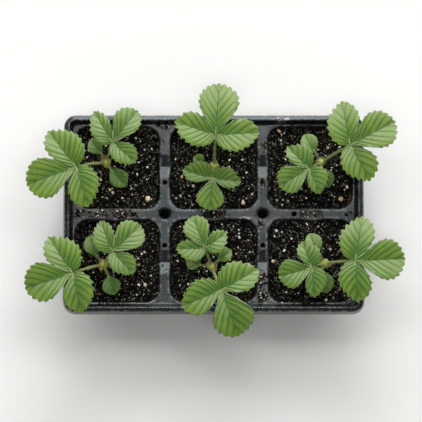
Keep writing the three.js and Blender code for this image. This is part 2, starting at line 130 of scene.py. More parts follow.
def zipped(first: Array, second: Array, first_way: Array, second_way: Array) -> Array:
    """Triangles between two lines of points, taken in turn by how far along them the points lie.

    Args:
        first, second: the point numbers along each line.
        first_way, second_way: how far along its line each point is, from 0 to 1.

    Returns:
        Rows of three point numbers, which face along (line direction) x (first to second).
    """
    order = np.argsort(np.concatenate([first_way[1:], second_way[1:]]), kind="stable")
    on_first = order < len(first) - 1
    i, j = np.cumsum(on_first), np.cumsum(~on_first)
    step_first = np.stack([first[i - 1], first[i], second[j]], -1)
    step_second = np.stack([first[i], second[j], second[j - 1]], -1)
    return np.where(on_first[:, None], step_first, step_second)


def joined(parts: list[Surface]) -> Surface:
    """Several surfaces as one, side by side. A mark or uv that one lacks is zero there."""
    starts = np.cumsum([0] + [len(part.points) for part in parts[:-1]])
    marks = {
        name: np.concatenate([part.marks.get(name, np.zeros(len(part.points))) for part in parts])
        for name in sorted({name for part in parts for name in part.marks})
    }
    uv = [np.zeros((len(part.triangles), 3, 2)) if part.uv is None else part.uv for part in parts]
    return Surface(
        np.concatenate([part.points for part in parts]),
        np.concatenate([part.triangles + start for part, start in zip(parts, starts)]),
        np.concatenate(uv),
        marks,
        np.concatenate([part.slots() for part in parts]),
    )


def welded(surface: Surface, step: float = 0.002) -> Surface:
    """The surface with points that lie in one place made one, and flat triangles left out.

    Args:
        surface: the surface.
        step: points that round to the same multiple of this length are one.

    Returns:
        The welded surface. Of points that are made one, the first keeps its marks.
    """
    keys = np.round(surface.points / step).astype(np.int64)
    _, first, number = np.unique(keys, axis=0, return_index=True, return_inverse=True)
    triangles = number.reshape(-1)[surface.triangles]
    a, b, c = triangles.T
    whole = (a != b) & (b != c) & (c != a)
    return Surface(
        surface.points[first],
        triangles[whole],
        None if surface.uv is None else surface.uv[whole],
        {name: value[first] for name, value in surface.marks.items()},
        surface.slots()[whole],
    )


def unit(vectors: Array) -> Array:
    """Rows of vectors made one unit long."""
    return vectors / np.maximum(np.linalg.norm(vectors, axis=-1, keepdims=True), 1e-12)


def normals_of(points: Array, triangles: Array) -> Array:
    """The normal at each point: the sum of its triangles' area vectors, made one unit long."""
    a, b, c = (points[triangles[:, k]] for k in range(3))
    faces = np.cross(b - a, c - a)
    total = np.zeros_like(points)
    for k in range(3):
        np.add.at(total, triangles[:, k], faces)
    return unit(total)


def thickened(surface: Surface, thickness: float) -> Surface:
    """A thin closed body whose upper face is the surface.

    The lower face is the surface moved against its normals by the thickness, and turned over. A
    border edge, which belongs to only one triangle, gets a band between the two faces.

    Args:
        surface: an open surface that has been welded.
        thickness: the body's thickness.

    Returns:
        The closed body. Its mark "under" is 1 on the lower face and 0 on the upper one.
    """
    count = len(surface.points)
    lower = surface.points - normals_of(surface.points, surface.triangles) * thickness
    edges = np.concatenate([surface.triangles[:, [k, (k + 1) % 3]] for k in range(3)])
    a, b = edges.T.astype(np.int64)
    lone = ~np.isin(a * count + b, b * count + a)
    a, b = edges[lone].T
    owner = np.tile(surface.slots(), 3)[lone]
    halves = ([b, a, a + count], [b, a + count, b + count])
    band = np.concatenate([np.stack(half, -1) for half in halves])
    uv = surface.uv
    if uv is not None:
        ends = np.concatenate([uv[:, [k, (k + 1) % 3]] for k in range(3)])[lone]
        uv = np.concatenate([uv, uv[:, ::-1], ends[:, [1, 0, 0]], ends[:, [1, 0, 1]]])
    marks = {name: np.tile(value, 2) for name, value in surface.marks.items()}
    marks["under"] = np.repeat([0.0, 1.0], count)
    return Surface(
        np.concatenate([surface.points, lower]),
        np.concatenate([surface.triangles, surface.triangles[:, ::-1] + count, band]),
        uv,
        marks,
        np.concatenate([surface.slots(), surface.slots(), owner, owner]),
    )


def tube(path: Array, radii: Array, sides: int, flatness: float = 1.0) -> Surface:
    """A round stalk carried along a path, with both ends closed to a point.

    At each path point a ring stands square to the path, with radius * (cos a, sin a) along two
    directions: one level, and one square to it and to the path.

    Args:
        path: points along the stalk.
        radii: the radius at each.
        sides: how many points round it.
        flatness: the ring's height over its width.

    Returns:
        The closed stalk. Its mark "along" goes from 0 at the start to 1 at the end.
    """
    direction = unit(np.gradient(path, axis=0))
    level = unit(np.cross(direction, [0.0, 0.0, 1.0]))
    steep = np.cross(level, direction)
    turn = np.linspace(0, 2 * np.pi, sides, endpoint=False)[:, None]
    ring = level[:, None] * np.cos(turn) + flatness * steep[:, None] * np.sin(turn)
    body = path[:, None] + radii[:, None, None] * ring
    ends = np.repeat(path[[0, -1]][:, None], sides, axis=1)
    rings = np.concatenate([ends[:1], body, ends[1:]])
    along = np.tile(np.concatenate([[0], np.linspace(0, 1, len(path)), [1]]), sides)
    triangles = sheet_triangles(sides, len(rings), closed=True)[:, ::-1]
    points = rings.transpose(1, 0, 2).reshape(-1, 3)
    return welded(Surface(points, triangles, marks={"along": along}), 1e-5)


def smooth_step(value: Array, low: float, high: float) -> Array:
    """0 below low, 1 above high, and 3t^2 - 2t^3 in between, where t is the share of the way."""
    t = np.clip((value - low) / (high - low), 0, 1)
    return t * t * (3 - 2 * t)


# ------------------------------------------------------------- small forms


def jagged_lump() -> Surface:
    """An icosahedron of unit radius, the form of a soil crumb: 12 points and 20 triangles."""
    g = (1 + math.sqrt(5)) / 2
    points = np.array(
        [[-1, g, 0], [1, g, 0], [-1, -g, 0], [1, -g, 0], [0, -1, g], [0, 1, g],
         [0, -1, -g], [0, 1, -g], [g, 0, -1], [g, 0, 1], [-g, 0, -1], [-g, 0, 1]], float)
    triangles = np.array(
        [[0, 11, 5], [0, 5, 1], [0, 1, 7], [0, 7, 10], [0, 10, 11], [1, 5, 9], [5, 11, 4],
         [11, 10, 2], [10, 7, 6], [7, 1, 8], [3, 9, 4], [3, 4, 2], [3, 2, 6], [3, 6, 8],
         [3, 8, 9], [4, 9, 5], [2, 4, 11], [6, 2, 10], [8, 6, 7], [9, 8, 1]])
    return Surface(points / np.linalg.norm(points[0]), triangles)


def rounded_lump() -> Surface:
    """A round pebble of unit radius: an octahedron whose triangles are cut in four, 32 in all."""
    corners = np.concatenate([[row, -row] for row in np.eye(3)])
    faces = np.array(
        [[0, 2, 4], [2, 1, 4], [1, 3, 4], [3, 0, 4], [2, 0, 5], [1, 2, 5], [3, 1, 5], [0, 3, 5]])
    a, b, c = (corners[faces[:, k]] for k in range(3))
    ab, bc, ca = (a + b) / 2, (b + c) / 2, (c + a) / 2
    cut = [(a, ab, ca), (ab, b, bc), (ca, bc, c), (ab, bc, ca)]
    points = unit(np.concatenate([np.stack(three, 1).reshape(-1, 3) for three in cut]))
    return welded(Surface(points, np.arange(len(points)).reshape(-1, 3)), 1e-4)


def turns(random: Random, count: int) -> Array:
    """Random rotation matrices, from random unit quaternions."""
    w, x, y, z = (q := random.normal(size=(4, count))) / np.linalg.norm(q, axis=0)
    rows = [
        [1 - 2 * (y * y + z * z), 2 * (x * y - z * w), 2 * (x * z + y * w)],
        [2 * (x * y + z * w), 1 - 2 * (x * x + z * z), 2 * (y * z - x * w)],
        [2 * (x * z - y * w), 2 * (y * z + x * w), 1 - 2 * (x * x + y * y)],
    ]
    return np.moveaxis(np.array(rows), -1, 0)


@dataclass(frozen=True)
class Scatter:
    """How uneven, turned copies of one small form are made.

    Args:
        form: the small form.
        roughness: how far each point moves in or out by chance, as a share.
        stretch: the least and the most that a copy is stretched along each of its own axes.
    """

    form: Surface
    roughness: float
    stretch: tuple[float, float]

    def at(self, places: Array, sizes: Array, random: Random) -> Surface:
        """The copies as one surface, with a mark "tone" from 0 to 1, the same all over a copy.

        A copy's point = place + size * turn * (form's point * stretch * (1 + roughness * chance)).
        """
        count, size = len(places), len(self.form.points)
        bumps = 1 + self.roughness * random.uniform(-1, 1, (count, size, 1))
        scales = random.uniform(*self.stretch, (count, 1, 3))
        own = self.form.points[None] * bumps * scales * sizes[:, None, None]
        points = np.einsum("nij,nkj->nki", turns(random, count), own) + places[:, None]
        triangles = self.form.triangles[None] + (np.arange(count) * size)[:, None, None]
        tone = np.repeat(random.uniform(0, 1, count), size)
        return Surface(points.reshape(-1, 3), triangles.reshape(-1, 3), marks={"tone": tone})


def sliver(place: Array, random: Random) -> Surface:
    """A sliver of bark: a flat, tapered, bent stalk that lies level.

    Its middle line is a level quadratic curve, and its radius is width * sin(pi * way along it).
    """
    turn, length = random.uniform(0, 2 * np.pi), random.uniform(2.0, 6.5)
    bend, width = random.uniform(-0.3, 0.3) * length, random.uniform(0.12, 0.34)
    t = np.linspace(-1, 1, 7)
    flat = np.stack([t * length / 2, bend * (1 - t * t)], -1)
    spin = np.array([[math.cos(turn), -math.sin(turn)], [math.sin(turn), math.cos(turn)]])
    rise = place[2] + 0.35 + 0.25 * random.uniform(-1, 1) * t
    path = np.concatenate([flat @ spin.T + place[:2], rise[:, None]], 1)
    radii = width * np.sin(np.pi * np.linspace(0.12, 0.88, 7))
    return tube(path, radii, 5, 0.6).marked(tone=random.uniform(0.75, 1.0))


# ------------------------------------------------------------------ shaders


class Wiring:
    """Adds nodes to one shader tree. An input is given a number, a colour or a socket."""

    def __init__(self, tree: bpy.types.NodeTree) -> None:
        """Starts on a tree, whose nodes stay as they are."""
        self.tree = tree

    def feed(self, socket: Socket, value: object) -> None:
        """Links a socket to an input, or sets the input's own value."""
        if isinstance(value, bpy.types.NodeSocket):
            self.tree.links.new(value, socket)
        elif isinstance(value, tuple) and len(value) == 3 and socket.type == "RGBA":
            socket.default_value = (*value, 1.0)
        else:
            socket.default_value = value

    def node(self, kind: str, values: dict | tuple = (), **settings: object) -> Node:
        """A new node.

        Args:
            kind: its type, without the leading ShaderNode.
            values: what its inputs are fed, by name or number, or in order from the first.
            settings: its properties, which are set first.

        Returns:
            The node.
        """
        made = self.tree.nodes.new(f"ShaderNode{kind}")
        for name, value in settings.items():
            setattr(made, name, value)
        for name, value in values.items() if isinstance(values, dict) else enumerate(values):
            self.feed(made.inputs[name], value)
        return made

    def number(self, operation: str, *values: object, clamp: bool = False) -> Socket:
        """A Math node's result."""
        return self.node("Math", values, operation=operation, use_clamp=clamp).outputs[0]

    def times(self, first: object, second: object) -> Socket:
        """first * second."""
        return self.number("MULTIPLY", first, second)

    def plus(self, first: object, second: object, clamp: bool = False) -> Socket:
        """first + second."""
        return self.number("ADD", first, second, clamp=clamp)

    def scaled(self, value: object, factor: object, added: object, clamp: bool = False) -> Socket:
        """value * factor + added."""
        return self.number("MULTIPLY_ADD", value, factor, added, clamp=clamp)

    def size(self, value: object) -> Socket:
        """The value without its sign."""
        return self.number("ABSOLUTE", value)

    def blend(self, share: object, first: object, second: object, mode: str = "MIX") -> Socket:
        """Two colours mixed: the first at share 0, the second at share 1."""
        values = {0: share, 6: first, 7: second}
        return self.node("Mix", values, data_type="RGBA", blend_type=mode).outputs[2]

    def layers(self, base: object, *layers: tuple[object, Colour]) -> Socket:
        """A colour under others, each laid over what is below it by its share."""
        for share, colour in layers:
            base = self.blend(share, base, colour)
        return base

    def rise(
        self, value: object, low: float, high: float, start: float = 0.0, end: float = 1.0
    ) -> Socket:
        """A smooth rise from start to end as the value goes from low to high."""
        values = (value, low, high, start, end)
        return self.node("MapRange", values, interpolation_type="SMOOTHSTEP").outputs[0]

    def fall(self, value: object, low: float, high: float, end: float = 0.0) -> Socket:
        """A smooth fall from 1 to end as the value goes from low to high."""
        return self.rise(value, low, high, 1.0, end)

    def noise(self, vector: object, scale: object, detail: float, rough: float = 0.55) -> Socket:
        """Fractal noise round 0.5, at a scale in cells to the metre."""
        values = {"Vector": vector, "Scale": scale, "Detail": detail, "Roughness": rough}
        return self.node("TexNoise", values).outputs["Fac"]

    def cells(self, vector: object, scale: object, feature: str = "F1") -> Node:
        """A Voronoi node, at a scale in cells to the metre."""
        return self.node("TexVoronoi", {"Vector": vector, "Scale": scale}, feature=feature)

    def edges(self, vector: object, scale: object) -> Socket:
        """The distance to the nearest edge of a net of cells."""
        return self.cells(vector, scale, "DISTANCE_TO_EDGE").outputs["Distance"]

    def parts(self, vector: object) -> list[Socket]:
        """The x, y and z of a vector."""
        return list(self.node("SeparateXYZ", (vector,)).outputs)

    def mark(self, name: str) -> Socket:
        """A number that the mesh carries at each point."""
        return self.node("Attribute", attribute_name=name).outputs["Fac"]


def group_of(name: str, inputs: dict[str, tuple[str, object]], outputs: dict[str, str]) -> tuple:
    """A new shader node group with named sockets.

    Args:
        name: the group's name.
        inputs: for each input, its kind and first value.
        outputs: for each output, its kind.

    Returns:
        The tree, its Wiring, the sockets that its inputs come from, and those of its outputs.
    """
    kinds = {"number": "NodeSocketFloat", "colour": "NodeSocketColor", "vector": "NodeSocketVector"}
    tree = bpy.data.node_groups.new(name, "ShaderNodeTree")
    for label, (kind, value) in inputs.items():
        socket = tree.interface.new_socket(label, in_out="INPUT", socket_type=kinds[kind])
        if kind == "number":
            socket.default_value = value
    for label, kind in outputs.items():
        tree.interface.new_socket(label, in_out="OUTPUT", socket_type=kinds[kind])
    given, taken = tree.nodes.new("NodeGroupInput"), tree.nodes.new("NodeGroupOutput")
    return tree, Wiring(tree), [given.outputs[label] for label in inputs], taken.inputs


class Effects:
    """The shader effects that several finishes share, each built once."""

    def __init__(self) -> None:
        """Builds the groups."""
        self.mottle = self.make_mottle()
        self.skin = self.make_skin()

    @staticmethod
    def make_mottle() -> bpy.types.NodeTree:
        """Uneven colour: a colour made darker and lighter by noise of two sizes.

        Returns:
            The group: Place, Colour, Scale and Amount in, Colour and Value out.
        """
        inputs = {
            "Place": ("vector", None),
            "Colour": ("colour", None),
            "Scale": ("number", 100.0),
            "Amount": ("number", 0.3),
        }
        tree, w, given, taken = group_of("mottle", inputs, {"Colour": "colour", "Value": "number"})
        place, colour, scale, amount = given
        wide = w.noise(place, scale, 2.0)
        fine = w.noise(place, w.times(scale, 6.3), 3.0)
        spread = w.rise(w.plus(w.times(wide, 0.6), w.times(fine, 0.4)), 0.3, 0.7)
        swing = w.times(w.number("SUBTRACT", spread, 0.5), amount)
        grey = w.node("CombineColor", (w.scaled(swing, 2.0, 1.0),) * 3)
        w.feed(taken["Colour"], w.blend(1.0, colour, grey.outputs[0], "MULTIPLY"))
        w.feed(taken["Value"], spread)
        return tree

    @staticmethod
    def make_skin() -> bpy.types.NodeTree:
        """Fine surface grain as a height: small noise and a net of cell edges.

        Returns:
            The group: Place, Scale and Net in, Height out. Net is the share of the cell edges.
        """
        inputs = {"Place": ("vector", None), "Scale": ("number", 1500.0), "Net": ("number", 0.5)}
        tree, w, (place, scale, net), taken = group_of("skin", inputs, {"Height": "number"})
        edges = w.rise(w.edges(place, w.times(scale, 0.5)), 0.0, 0.16)
        w.feed(taken["Height"], w.plus(w.noise(place, scale, 2.0), w.times(edges, net)))
        return tree


class Paint(Wiring):
    """The wiring of one new material, round its Principled shader."""

    def __init__(self, name: str, effects: Effects) -> None:
        """Makes the material, its shader and the surface point in the object's frame, in metres."""
        self.material = bpy.data.materials.new(name)
        self.material.use_nodes = True
        super().__init__(self.material.node_tree)
        self.tree.nodes.clear()
        self.effects = effects
        self.shader = self.node("BsdfPrincipled")
        self.node("OutputMaterial", {"Surface": self.shader.outputs[0]})
        self.place = self.node("TexCoord").outputs["Object"]

    def set(self, **values: object) -> None:
        """Feeds the shader's inputs, whose names have _ for a space here."""
        for name, value in values.items():
            self.feed(self.shader.inputs[name.replace("_", " ")], value)

    def mottled(self, colour: object, scale: float, amount: float) -> tuple[Socket, Socket]:
        """A colour made uneven, and the noise that did it."""
        values = {"Place": self.place, "Colour": colour, "Scale": scale, "Amount": amount}
        outputs = self.node("Group", values, node_tree=self.effects.mottle).outputs
        return outputs["Colour"], outputs["Value"]

    def grain(self, scale: float, net: float) -> Socket:
        """Fine surface grain as a height, with a share of cell edges in it."""
        values = {"Place": self.place, "Scale": scale, "Net": net}
        return self.node("Group", values, node_tree=self.effects.skin).outputs["Height"]

    def bump(self, height: Socket, depth: float, strength: float) -> None:
        """Tilts the shading by a height, where depth is the height's full range in metres."""
        values = {"Height": height, "Distance": depth, "Strength": strength}
        self.set(Normal=self.node("Bump", values).outputs[0])


class Finish:
    """A material's look. Its fields are its name and colours, and wire() feeds its shader."""

    name: str = ""

    def wire(self, p: Paint) -> None:
        """Feeds colour, roughness and height to the shader."""
        raise NotImplementedError


@dataclass(frozen=True)
class LeafSkin(Finish):
    """The blade of a leaflet: veins and midrib painted dark, partly their own colour and partly
    painted shade in their sunk grooves, a pale foot to the midrib, a paler lower face and a painted
    sheen.

    The mesh's uv gives the number of teeth along the edge / UV_TEETH, and 0.5 at the midrib, 0
    and 1 at the edges. Its marks give millimetres: "gap" between the veins and "across" from the
    midrib; and shares: "reach" along the midrib, "veins" for their strength, "tone", "grey",
    "under", and the share of painted sheen: pale grey laid where the blade leans to the back,
    towards the back lights.
    """

    name: str = "leaf_skin"
    dark: Colour = (0.045, 0.135, 0.005)
    light: Colour = (0.200, 0.345, 0.026)
    # The blade's own grey-green tone, which also colours the painted sheen
    grey: Colour = (0.300, 0.410, 0.165)
    deep: Colour = (0.055, 0.175, 0.002)
    vein: Colour = (0.026, 0.080, 0.004)
    midrib: Colour = (0.400, 0.440, 0.170)
    margin: Colour = (0.330, 0.430, 0.190)
    under: Colour = (0.250, 0.340, 0.180)

    def wire(self, p: Paint) -> None:
        """Feeds the shader: veins and midrib by where they run, then the colours in layers."""
        teeth, aside, _ = p.parts(p.node("UVMap", uv_map="blade").outputs[0])
        side = p.size(p.scaled(aside, 2.0, -1.0))
        wander = p.scaled(p.noise(p.place, 180.0, 1.0), 0.24, -0.12)
        turn = p.scaled(teeth, UV_TEETH, wander)
        past_vein = p.number("FRACT", p.number("SUBTRACT", turn, 0.25))
        between = p.size(p.number("SUBTRACT", past_vein, 0.5))
        across, reach, bloom, under = map(p.mark, ("across", "reach", "bloom", "under"))
        # Veins and midrib are painted darker: partly their own colour, partly painted shade in
        # their sunk grooves
        vein = p.times(p.fall(p.times(between, p.mark("gap")), 0.05, 0.26), p.mark("veins"))
        vein = p.times(vein, p.fall(side, 0.70, 1.0, 0.3))
        rib = p.times(p.fall(across, 0.16, 0.46), p.fall(reach, 0.55, 0.98, 0.3))
        foot = p.times(p.fall(across, 0.18, 0.50), p.fall(reach, 0.06, 0.22))
        net = p.fall(p.edges(p.place, 1050.0), 0.02, 0.14)
        share = p.scaled(p.rise(between, 0.05, 0.42), 0.34, p.mark("tone"))
        share = p.plus(share, p.rise(side, 0.15, 0.9, -0.16, 0.16))
        patch = p.scaled(p.noise(p.place, 150.0, 4.0, 0.6), 1.1, -0.73)
        # Painted sheen: pale grey where the blade leans to the back, towards the back lights,
        # together with the blade's own grey-green tone
        painted_sheen_and_grey = p.scaled(bloom, 0.75, p.times(p.mark("grey"), 0.6), clamp=True)
        deep = p.times(p.fall(across, 0.8, 7.0), p.fall(reach, 0.12, 0.62))
        toothed = p.rise(teeth, -0.03, 0.06, 0.0, 0.4)
        colour = p.layers(
            self.dark,
            (p.plus(share, patch, clamp=True), self.light),
            (painted_sheen_and_grey, self.grey),
            # The deep green near the midrib's foot is laid less where the painted sheen lies
            (p.times(deep, p.scaled(bloom, -0.8, 0.8)), self.deep),
            (p.times(net, 0.32), self.vein),
            (p.times(p.number("MAXIMUM", vein, rib), 0.78), self.vein),
            (p.times(p.rise(side, 0.94, 0.99), toothed), self.margin),
            (p.times(foot, 0.85), self.midrib),
        )
        lower = p.blend(p.times(vein, 0.35), self.under, self.midrib)
        rough = p.scaled(vein, 0.25, p.scaled(p.noise(p.place, 900.0, 2.0), 0.24, 0.24))
        p.set(
            Base_Color=p.blend(p.rise(under, 0.9, 1.0), colour, lower),
            Roughness=p.scaled(under, 0.2, rough),
            Specular_IOR_Level=0.55,
        )
        sunk = p.scaled(vein, 1.6, p.times(net, 1.1))
        height = p.number("SUBTRACT", p.times(p.grain(2600.0, 0.6), 0.7), sunk)
        p.bump(height, 0.00013, 0.9)


@dataclass(frozen=True)
class StalkSkin(Finish):
    """Petioles and crowns: yellow-green, yellower at the foot, with pale hairs and fine grain."""

    name: str = "stalk_skin"
    green: Colour = (0.215, 0.265, 0.055)
    foot: Colour = (0.320, 0.320, 0.070)
    hair: Colour = (0.620, 0.640, 0.430)

    def wire(self, p: Paint) -> None:
        """Feeds the shader."""
        low = p.times(p.fall(p.mark("along"), 0.0, 0.45), 0.8)
        colour, value = p.mottled(p.blend(low, self.green, self.foot), 420.0, 0.35)
        p.set(
            Base_Color=p.blend(p.mark("hair"), colour, self.hair),
            Roughness=p.scaled(value, 0.2, 0.42),
            Sheen_Weight=0.2,
        )
        p.bump(p.grain(2200.0, 0.3), 0.0001, 0.6)


@dataclass(frozen=True)
class PaperyBract(Finish):
    """The stipules at the crown: thin, yellow-green to tan, browner towards the tip."""

    name: str = "papery_bract"
    pale: Colour = (0.640, 0.640, 0.130)
    brown: Colour = (0.480, 0.410, 0.090)

    def wire(self, p: Paint) -> None:
        """Feeds the shader."""
        share = p.plus(p.rise(p.mark("along"), 0.35, 1.0), p.mark("tone"), clamp=True)
        colour, value = p.mottled(p.blend(share, self.pale, self.brown), 700.0, 0.4)
        p.set(Base_Color=colour, Roughness=p.scaled(value, 0.2, 0.5))
        p.bump(p.grain(3000.0, 0.2), 0.0001, 0.7)


@dataclass(frozen=True)
class BlackPlastic(Finish):
    """Thermoformed black sheet: satin, with dust, fine scratches, scuffs and pale edges, which are
    partly rubbed and partly a painted highlight.

    Its marks are shares: "dirt", the pale edges (partly rubbed, partly painted highlight) and
    "scuff" where it is chafed.
    """

    name: str = "black_plastic"
    black: Colour = (0.0032, 0.0062, 0.0068)
    dust: Colour = (0.085, 0.078, 0.066)
    # The pale grey of scratches and scuffs, and of the painted highlight along the edges
    scuff: Colour = (0.420, 0.430, 0.440)
    gleam: Colour = (0.90, 0.97, 1.0)

    def wire(self, p: Paint) -> None:
        """Feeds the shader: dust over black, then scratches, pale edges and scuffs over both."""
        film = p.rise(p.noise(p.place, 55.0, 5.0, 0.62), 0.42, 0.75)
        specks = p.rise(p.noise(p.place, 1500.0, 2.0), 0.66, 0.74)
        dust = p.plus(p.times(film, 0.04), p.times(specks, 0.25))
        dust = p.plus(dust, p.times(p.mark("dirt"), 0.8), clamp=True)
        lines = p.node("Mapping", {
            "Vector": p.place, "Rotation": (0.0, 0.0, 0.6), "Scale": (60.0, 900.0, 200.0)})
        where = p.rise(p.noise(p.place, 38.0, 2.0), 0.5, 0.66)
        scratch = p.rise(p.noise(lines.outputs[0], 1.0, 2.0, 0.4), 0.70, 0.74)
        scratch = p.times(scratch, p.times(where, 0.35))
        # Pale edges in patches: partly rubbed plastic, partly a painted highlight along the lips
        # and the rim
        edge_patches = p.rise(p.noise(p.place, 420.0, 4.0, 0.7), 0.44, 0.64, 0.03, 0.42)
        edge = p.times(p.mark("wear"), edge_patches)
        chafe = p.times(p.mark("scuff"), p.rise(p.noise(p.place, 900.0, 3.0), 0.46, 0.56))
        bright = p.number("MAXIMUM", p.number("MAXIMUM", scratch, edge), chafe)
        rough = p.scaled(dust, 0.35, p.scaled(film, 0.12, 0.24))
        p.set(
            Base_Color=p.layers(self.black, (dust, self.dust), (bright, self.scuff)),
            Roughness=p.scaled(bright, 0.3, rough),
            Specular_IOR_Level=0.5,
            Specular_Tint=self.gleam,
        )
        swell = p.times(p.noise(p.place, 70.0, 2.0), 5.0)
        p.bump(p.plus(p.grain(1300.0, 0.25), swell), 0.00006, 0.5)


@dataclass(frozen=True)
class PottingMix(Finish):
    """Damp peat and bark: near-black crumbs with brown ones among them and ash-grey flecks.

    The mark "tone" makes a crumb browner.
    """

    name: str = "potting_mix"
    peat: Colour = (0.0014, 0.0013, 0.0009)
    brown: Colour = (0.0150, 0.0125, 0.0075)
    ash: Colour = (0.2000, 0.1950, 0.1400)

    def wire(self, p: Paint) -> None:
        """Feeds the shader: cells of chance colours, large ones for crumbs and small for flecks."""
        bits, flecks = (
            p.node("SeparateColor", (p.cells(p.place, scale).outputs["Color"],)).outputs
            for scale in (900.0, 1500.0)
        )
        chance = p.scaled(p.mark("tone"), 0.6, p.times(bits[0], 0.4))
        colour = p.layers(
            self.peat,
            (p.rise(chance, 0.42, 0.95), self.brown),
            (p.rise(flecks[1], 0.89, 0.94, 0.0, 0.8), self.ash),
        )
        colour, value = p.mottled(colour, 500.0, 0.6)
        p.set(Base_Color=colour, Roughness=p.scaled(value, 0.3, 0.6), Specular_IOR_Level=0.08)
        p.bump(p.scaled(p.noise(p.place, 700.0, 4.0, 0.7), 3.0, p.grain(1800.0, 0.5)), 0.0003, 0.9)


@dataclass(frozen=True)
class PaleGrain(Finish):
    """Perlite and stones: white to cream, a few tan or orange by their mark "tint", pitted."""

    name: str = "pale_grain"
    white: Colour = (0.880, 0.860, 0.810)
    cream: Colour = (0.740, 0.600, 0.400)
    orange: Colour = (0.430, 0.200, 0.060)
    pit: Colour = (0.10, 0.075, 0.05)

    def wire(self, p: Paint) -> None:
        """Feeds the shader."""
        tint = p.mark("tint")
        colour = p.layers(
            self.white,
            (p.rise(tint, 0.0, 0.5), self.cream),
            (p.rise(tint, 0.55, 1.0), self.orange),
        )
        colour, value = p.mottled(colour, 900.0, 0.35)
        pits = p.rise(p.cells(p.place, 2600.0).outputs["Distance"], 0.0, 0.3, 0.4, 0.0)
        p.set(Base_Color=p.blend(pits, colour, self.pit), Roughness=p.scaled(value, 0.15, 0.7))
        p.bump(p.grain(3000.0, 0.5), 0.0001, 0.7)


@dataclass(frozen=True)
class WhiteFloor(Finish):
    """The pale surface that the tray stands on, with painted shade: near-black in the enclosed
    space between the cups.
    """

    name: str = "white_floor"
    white: Colour = (0.86, 0.86, 0.845)
    painted_shade: Colour = (0.010, 0.010, 0.010)

    def wire(self, p: Paint) -> None:
        """Feeds the shader."""
        x, y, _ = p.parts(p.place)
        # Painted shade: the floor is made near-black under the tray, between the cups, where the
        # tray's shadow lies
        painted_shade_mask = p.times(p.fall(p.size(x), 0.060, 0.070), p.fall(p.size(y), 0.030, 0.040))
        colour = p.blend(painted_shade_mask, p.mottled(self.white, 4.0, 0.006)[0], self.painted_shade)
        p.set(Base_Color=colour, Roughness=0.9, Specular_IOR_Level=0.1)


# ------------------------------------------------------------------- pieces


@dataclass
class Workshop:
    """Puts finished surfaces into the scene as pieces that ride on the root body.

    Args:
        middle: the tray's centre in the row frame, in metres.
        effects: the shared shader effects.
        finishes: the materials, by name.
    """

    middle: Array
    effects: Effects
    finishes: dict[str, bpy.types.Material] = field(default_factory=dict)

    def material(self, finish: Finish) -> bpy.types.Material:
        """The material of a finish, made once."""
        if finish.name not in self.finishes:
            paint = Paint(finish.name, self.effects)
            finish.wire(paint)
            self.finishes[finish.name] = paint.material
        return self.finishes[finish.name]

    def add(self, name: str, surface: Surface, finishes: list[Finish]) -> bpy.types.Object:
        """A new Blender object from a surface, in metres and in the row frame.

        Faces between a sheet's upper and lower side are flat, and all others are smooth.

        Args:
            name: the object's name.
            surface: its shape.
            finishes: its materials, in the order of the surface's slots.

        Returns:
            The object, at the origin, unturned and unscaled.
        """
        mesh = bpy.data.meshes.new(name)
        points = surface.points * MM + np.array([self.middle[0], self.middle[1], 0.0])
        corners = surface.triangles.ravel()
        mesh.vertices.add(len(points))
        mesh.vertices.foreach_set("co", points.astype(np.float32).ravel())
        mesh.loops.add(len(corners))
        mesh.loops.foreach_set("vertex_index", corners.astype(np.int32))
        mesh.polygons.add(len(surface.triangles))
        mesh.polygons.foreach_set("loop_start", np.arange(0, len(corners), 3, dtype=np.int32))
        mesh.polygons.foreach_set("material_index", surface.slots().astype(np.int32))
        side = surface.marks.get("under", np.zeros(len(points)))[surface.triangles]
        mesh.polygons.foreach_set("use_smooth", side.min(1) == side.max(1))
        if surface.uv is not None and surface.uv.any():
            layer = mesh.uv_layers.new(name="blade")
            layer.uv.foreach_set("vector", surface.uv.astype(np.float32).ravel())
        for label, value in surface.marks.items():
            attribute = mesh.attributes.new(label, "FLOAT", "POINT")
            attribute.data.foreach_set("value", value.astype(np.float32))
        mesh.update(calc_edges=True)
        mesh.validate()
        for finish in finishes:
            mesh.materials.append(self.material(finish))
        return linked(name, mesh)

    def piece(
        self, name: str, surface: Surface, finishes: list[Finish], slot: str, *nodes: str
    ) -> None:
        """Adds a piece of the object, which rides on the root body and may stand for CAD nodes.

        Args:
            name: the piece's name.
            surface: its shape.
            finishes: its materials.
            slot: not used.
            nodes: the CAD nodes that it replaces.
        """
        made = self.add(name, surface, finishes)
        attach(made, "root")
        if nodes:
            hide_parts(*nodes)
        log.info("%s: %d triangles", name, len(surface.triangles))


def linked(name: str, data: bpy.types.ID) -> bpy.types.Object:
    """A new object of some data, in the scene."""
    made = bpy.data.objects.new(name, data)
    bpy.context.scene.collection.objects.link(made)
    return made


# --------------------------------------------------------------------- tray


class Corner(Enum):
    """What lies outside a cell's corner."""

    CROSSING = "crossing of two dividers, with a round hole"
    JUNCTION = "divider that meets the rim"
    OUTER = "corner of the tray"


@dataclass(frozen=True)
class Cell:
    """One cell's place in the tray.

    Args:
        name: the plant that grows in it.
        column: -1, 0 or 1, from left to right.
        row: -1 at the front, 1 at the back.
    """

    name: str
    column: int
    row: int

    @property
    def centre(self) -> Array:
        """The middle of the cell, in plan."""
        return np.array([self.column * PITCH_X, self.row * PITCH_Y / 2])


CELLS = tuple(
    Cell(f"{depth}_{side}", column, row)
    for depth, row in (("back", 1), ("front", -1))
    for side, column in (("left", -1), ("middle", 0), ("right", 1))
)

# Steps round a cell's corner, a multiple of 6
CORNER_STEPS = 18

# The plan directions of a cell's four sides, anticlockwise from the right one
SIDE_NORMALS = np.array([[1.0, 0.0], [0.0, 1.0], [-1.0, 0.0], [0.0, -1.0]])

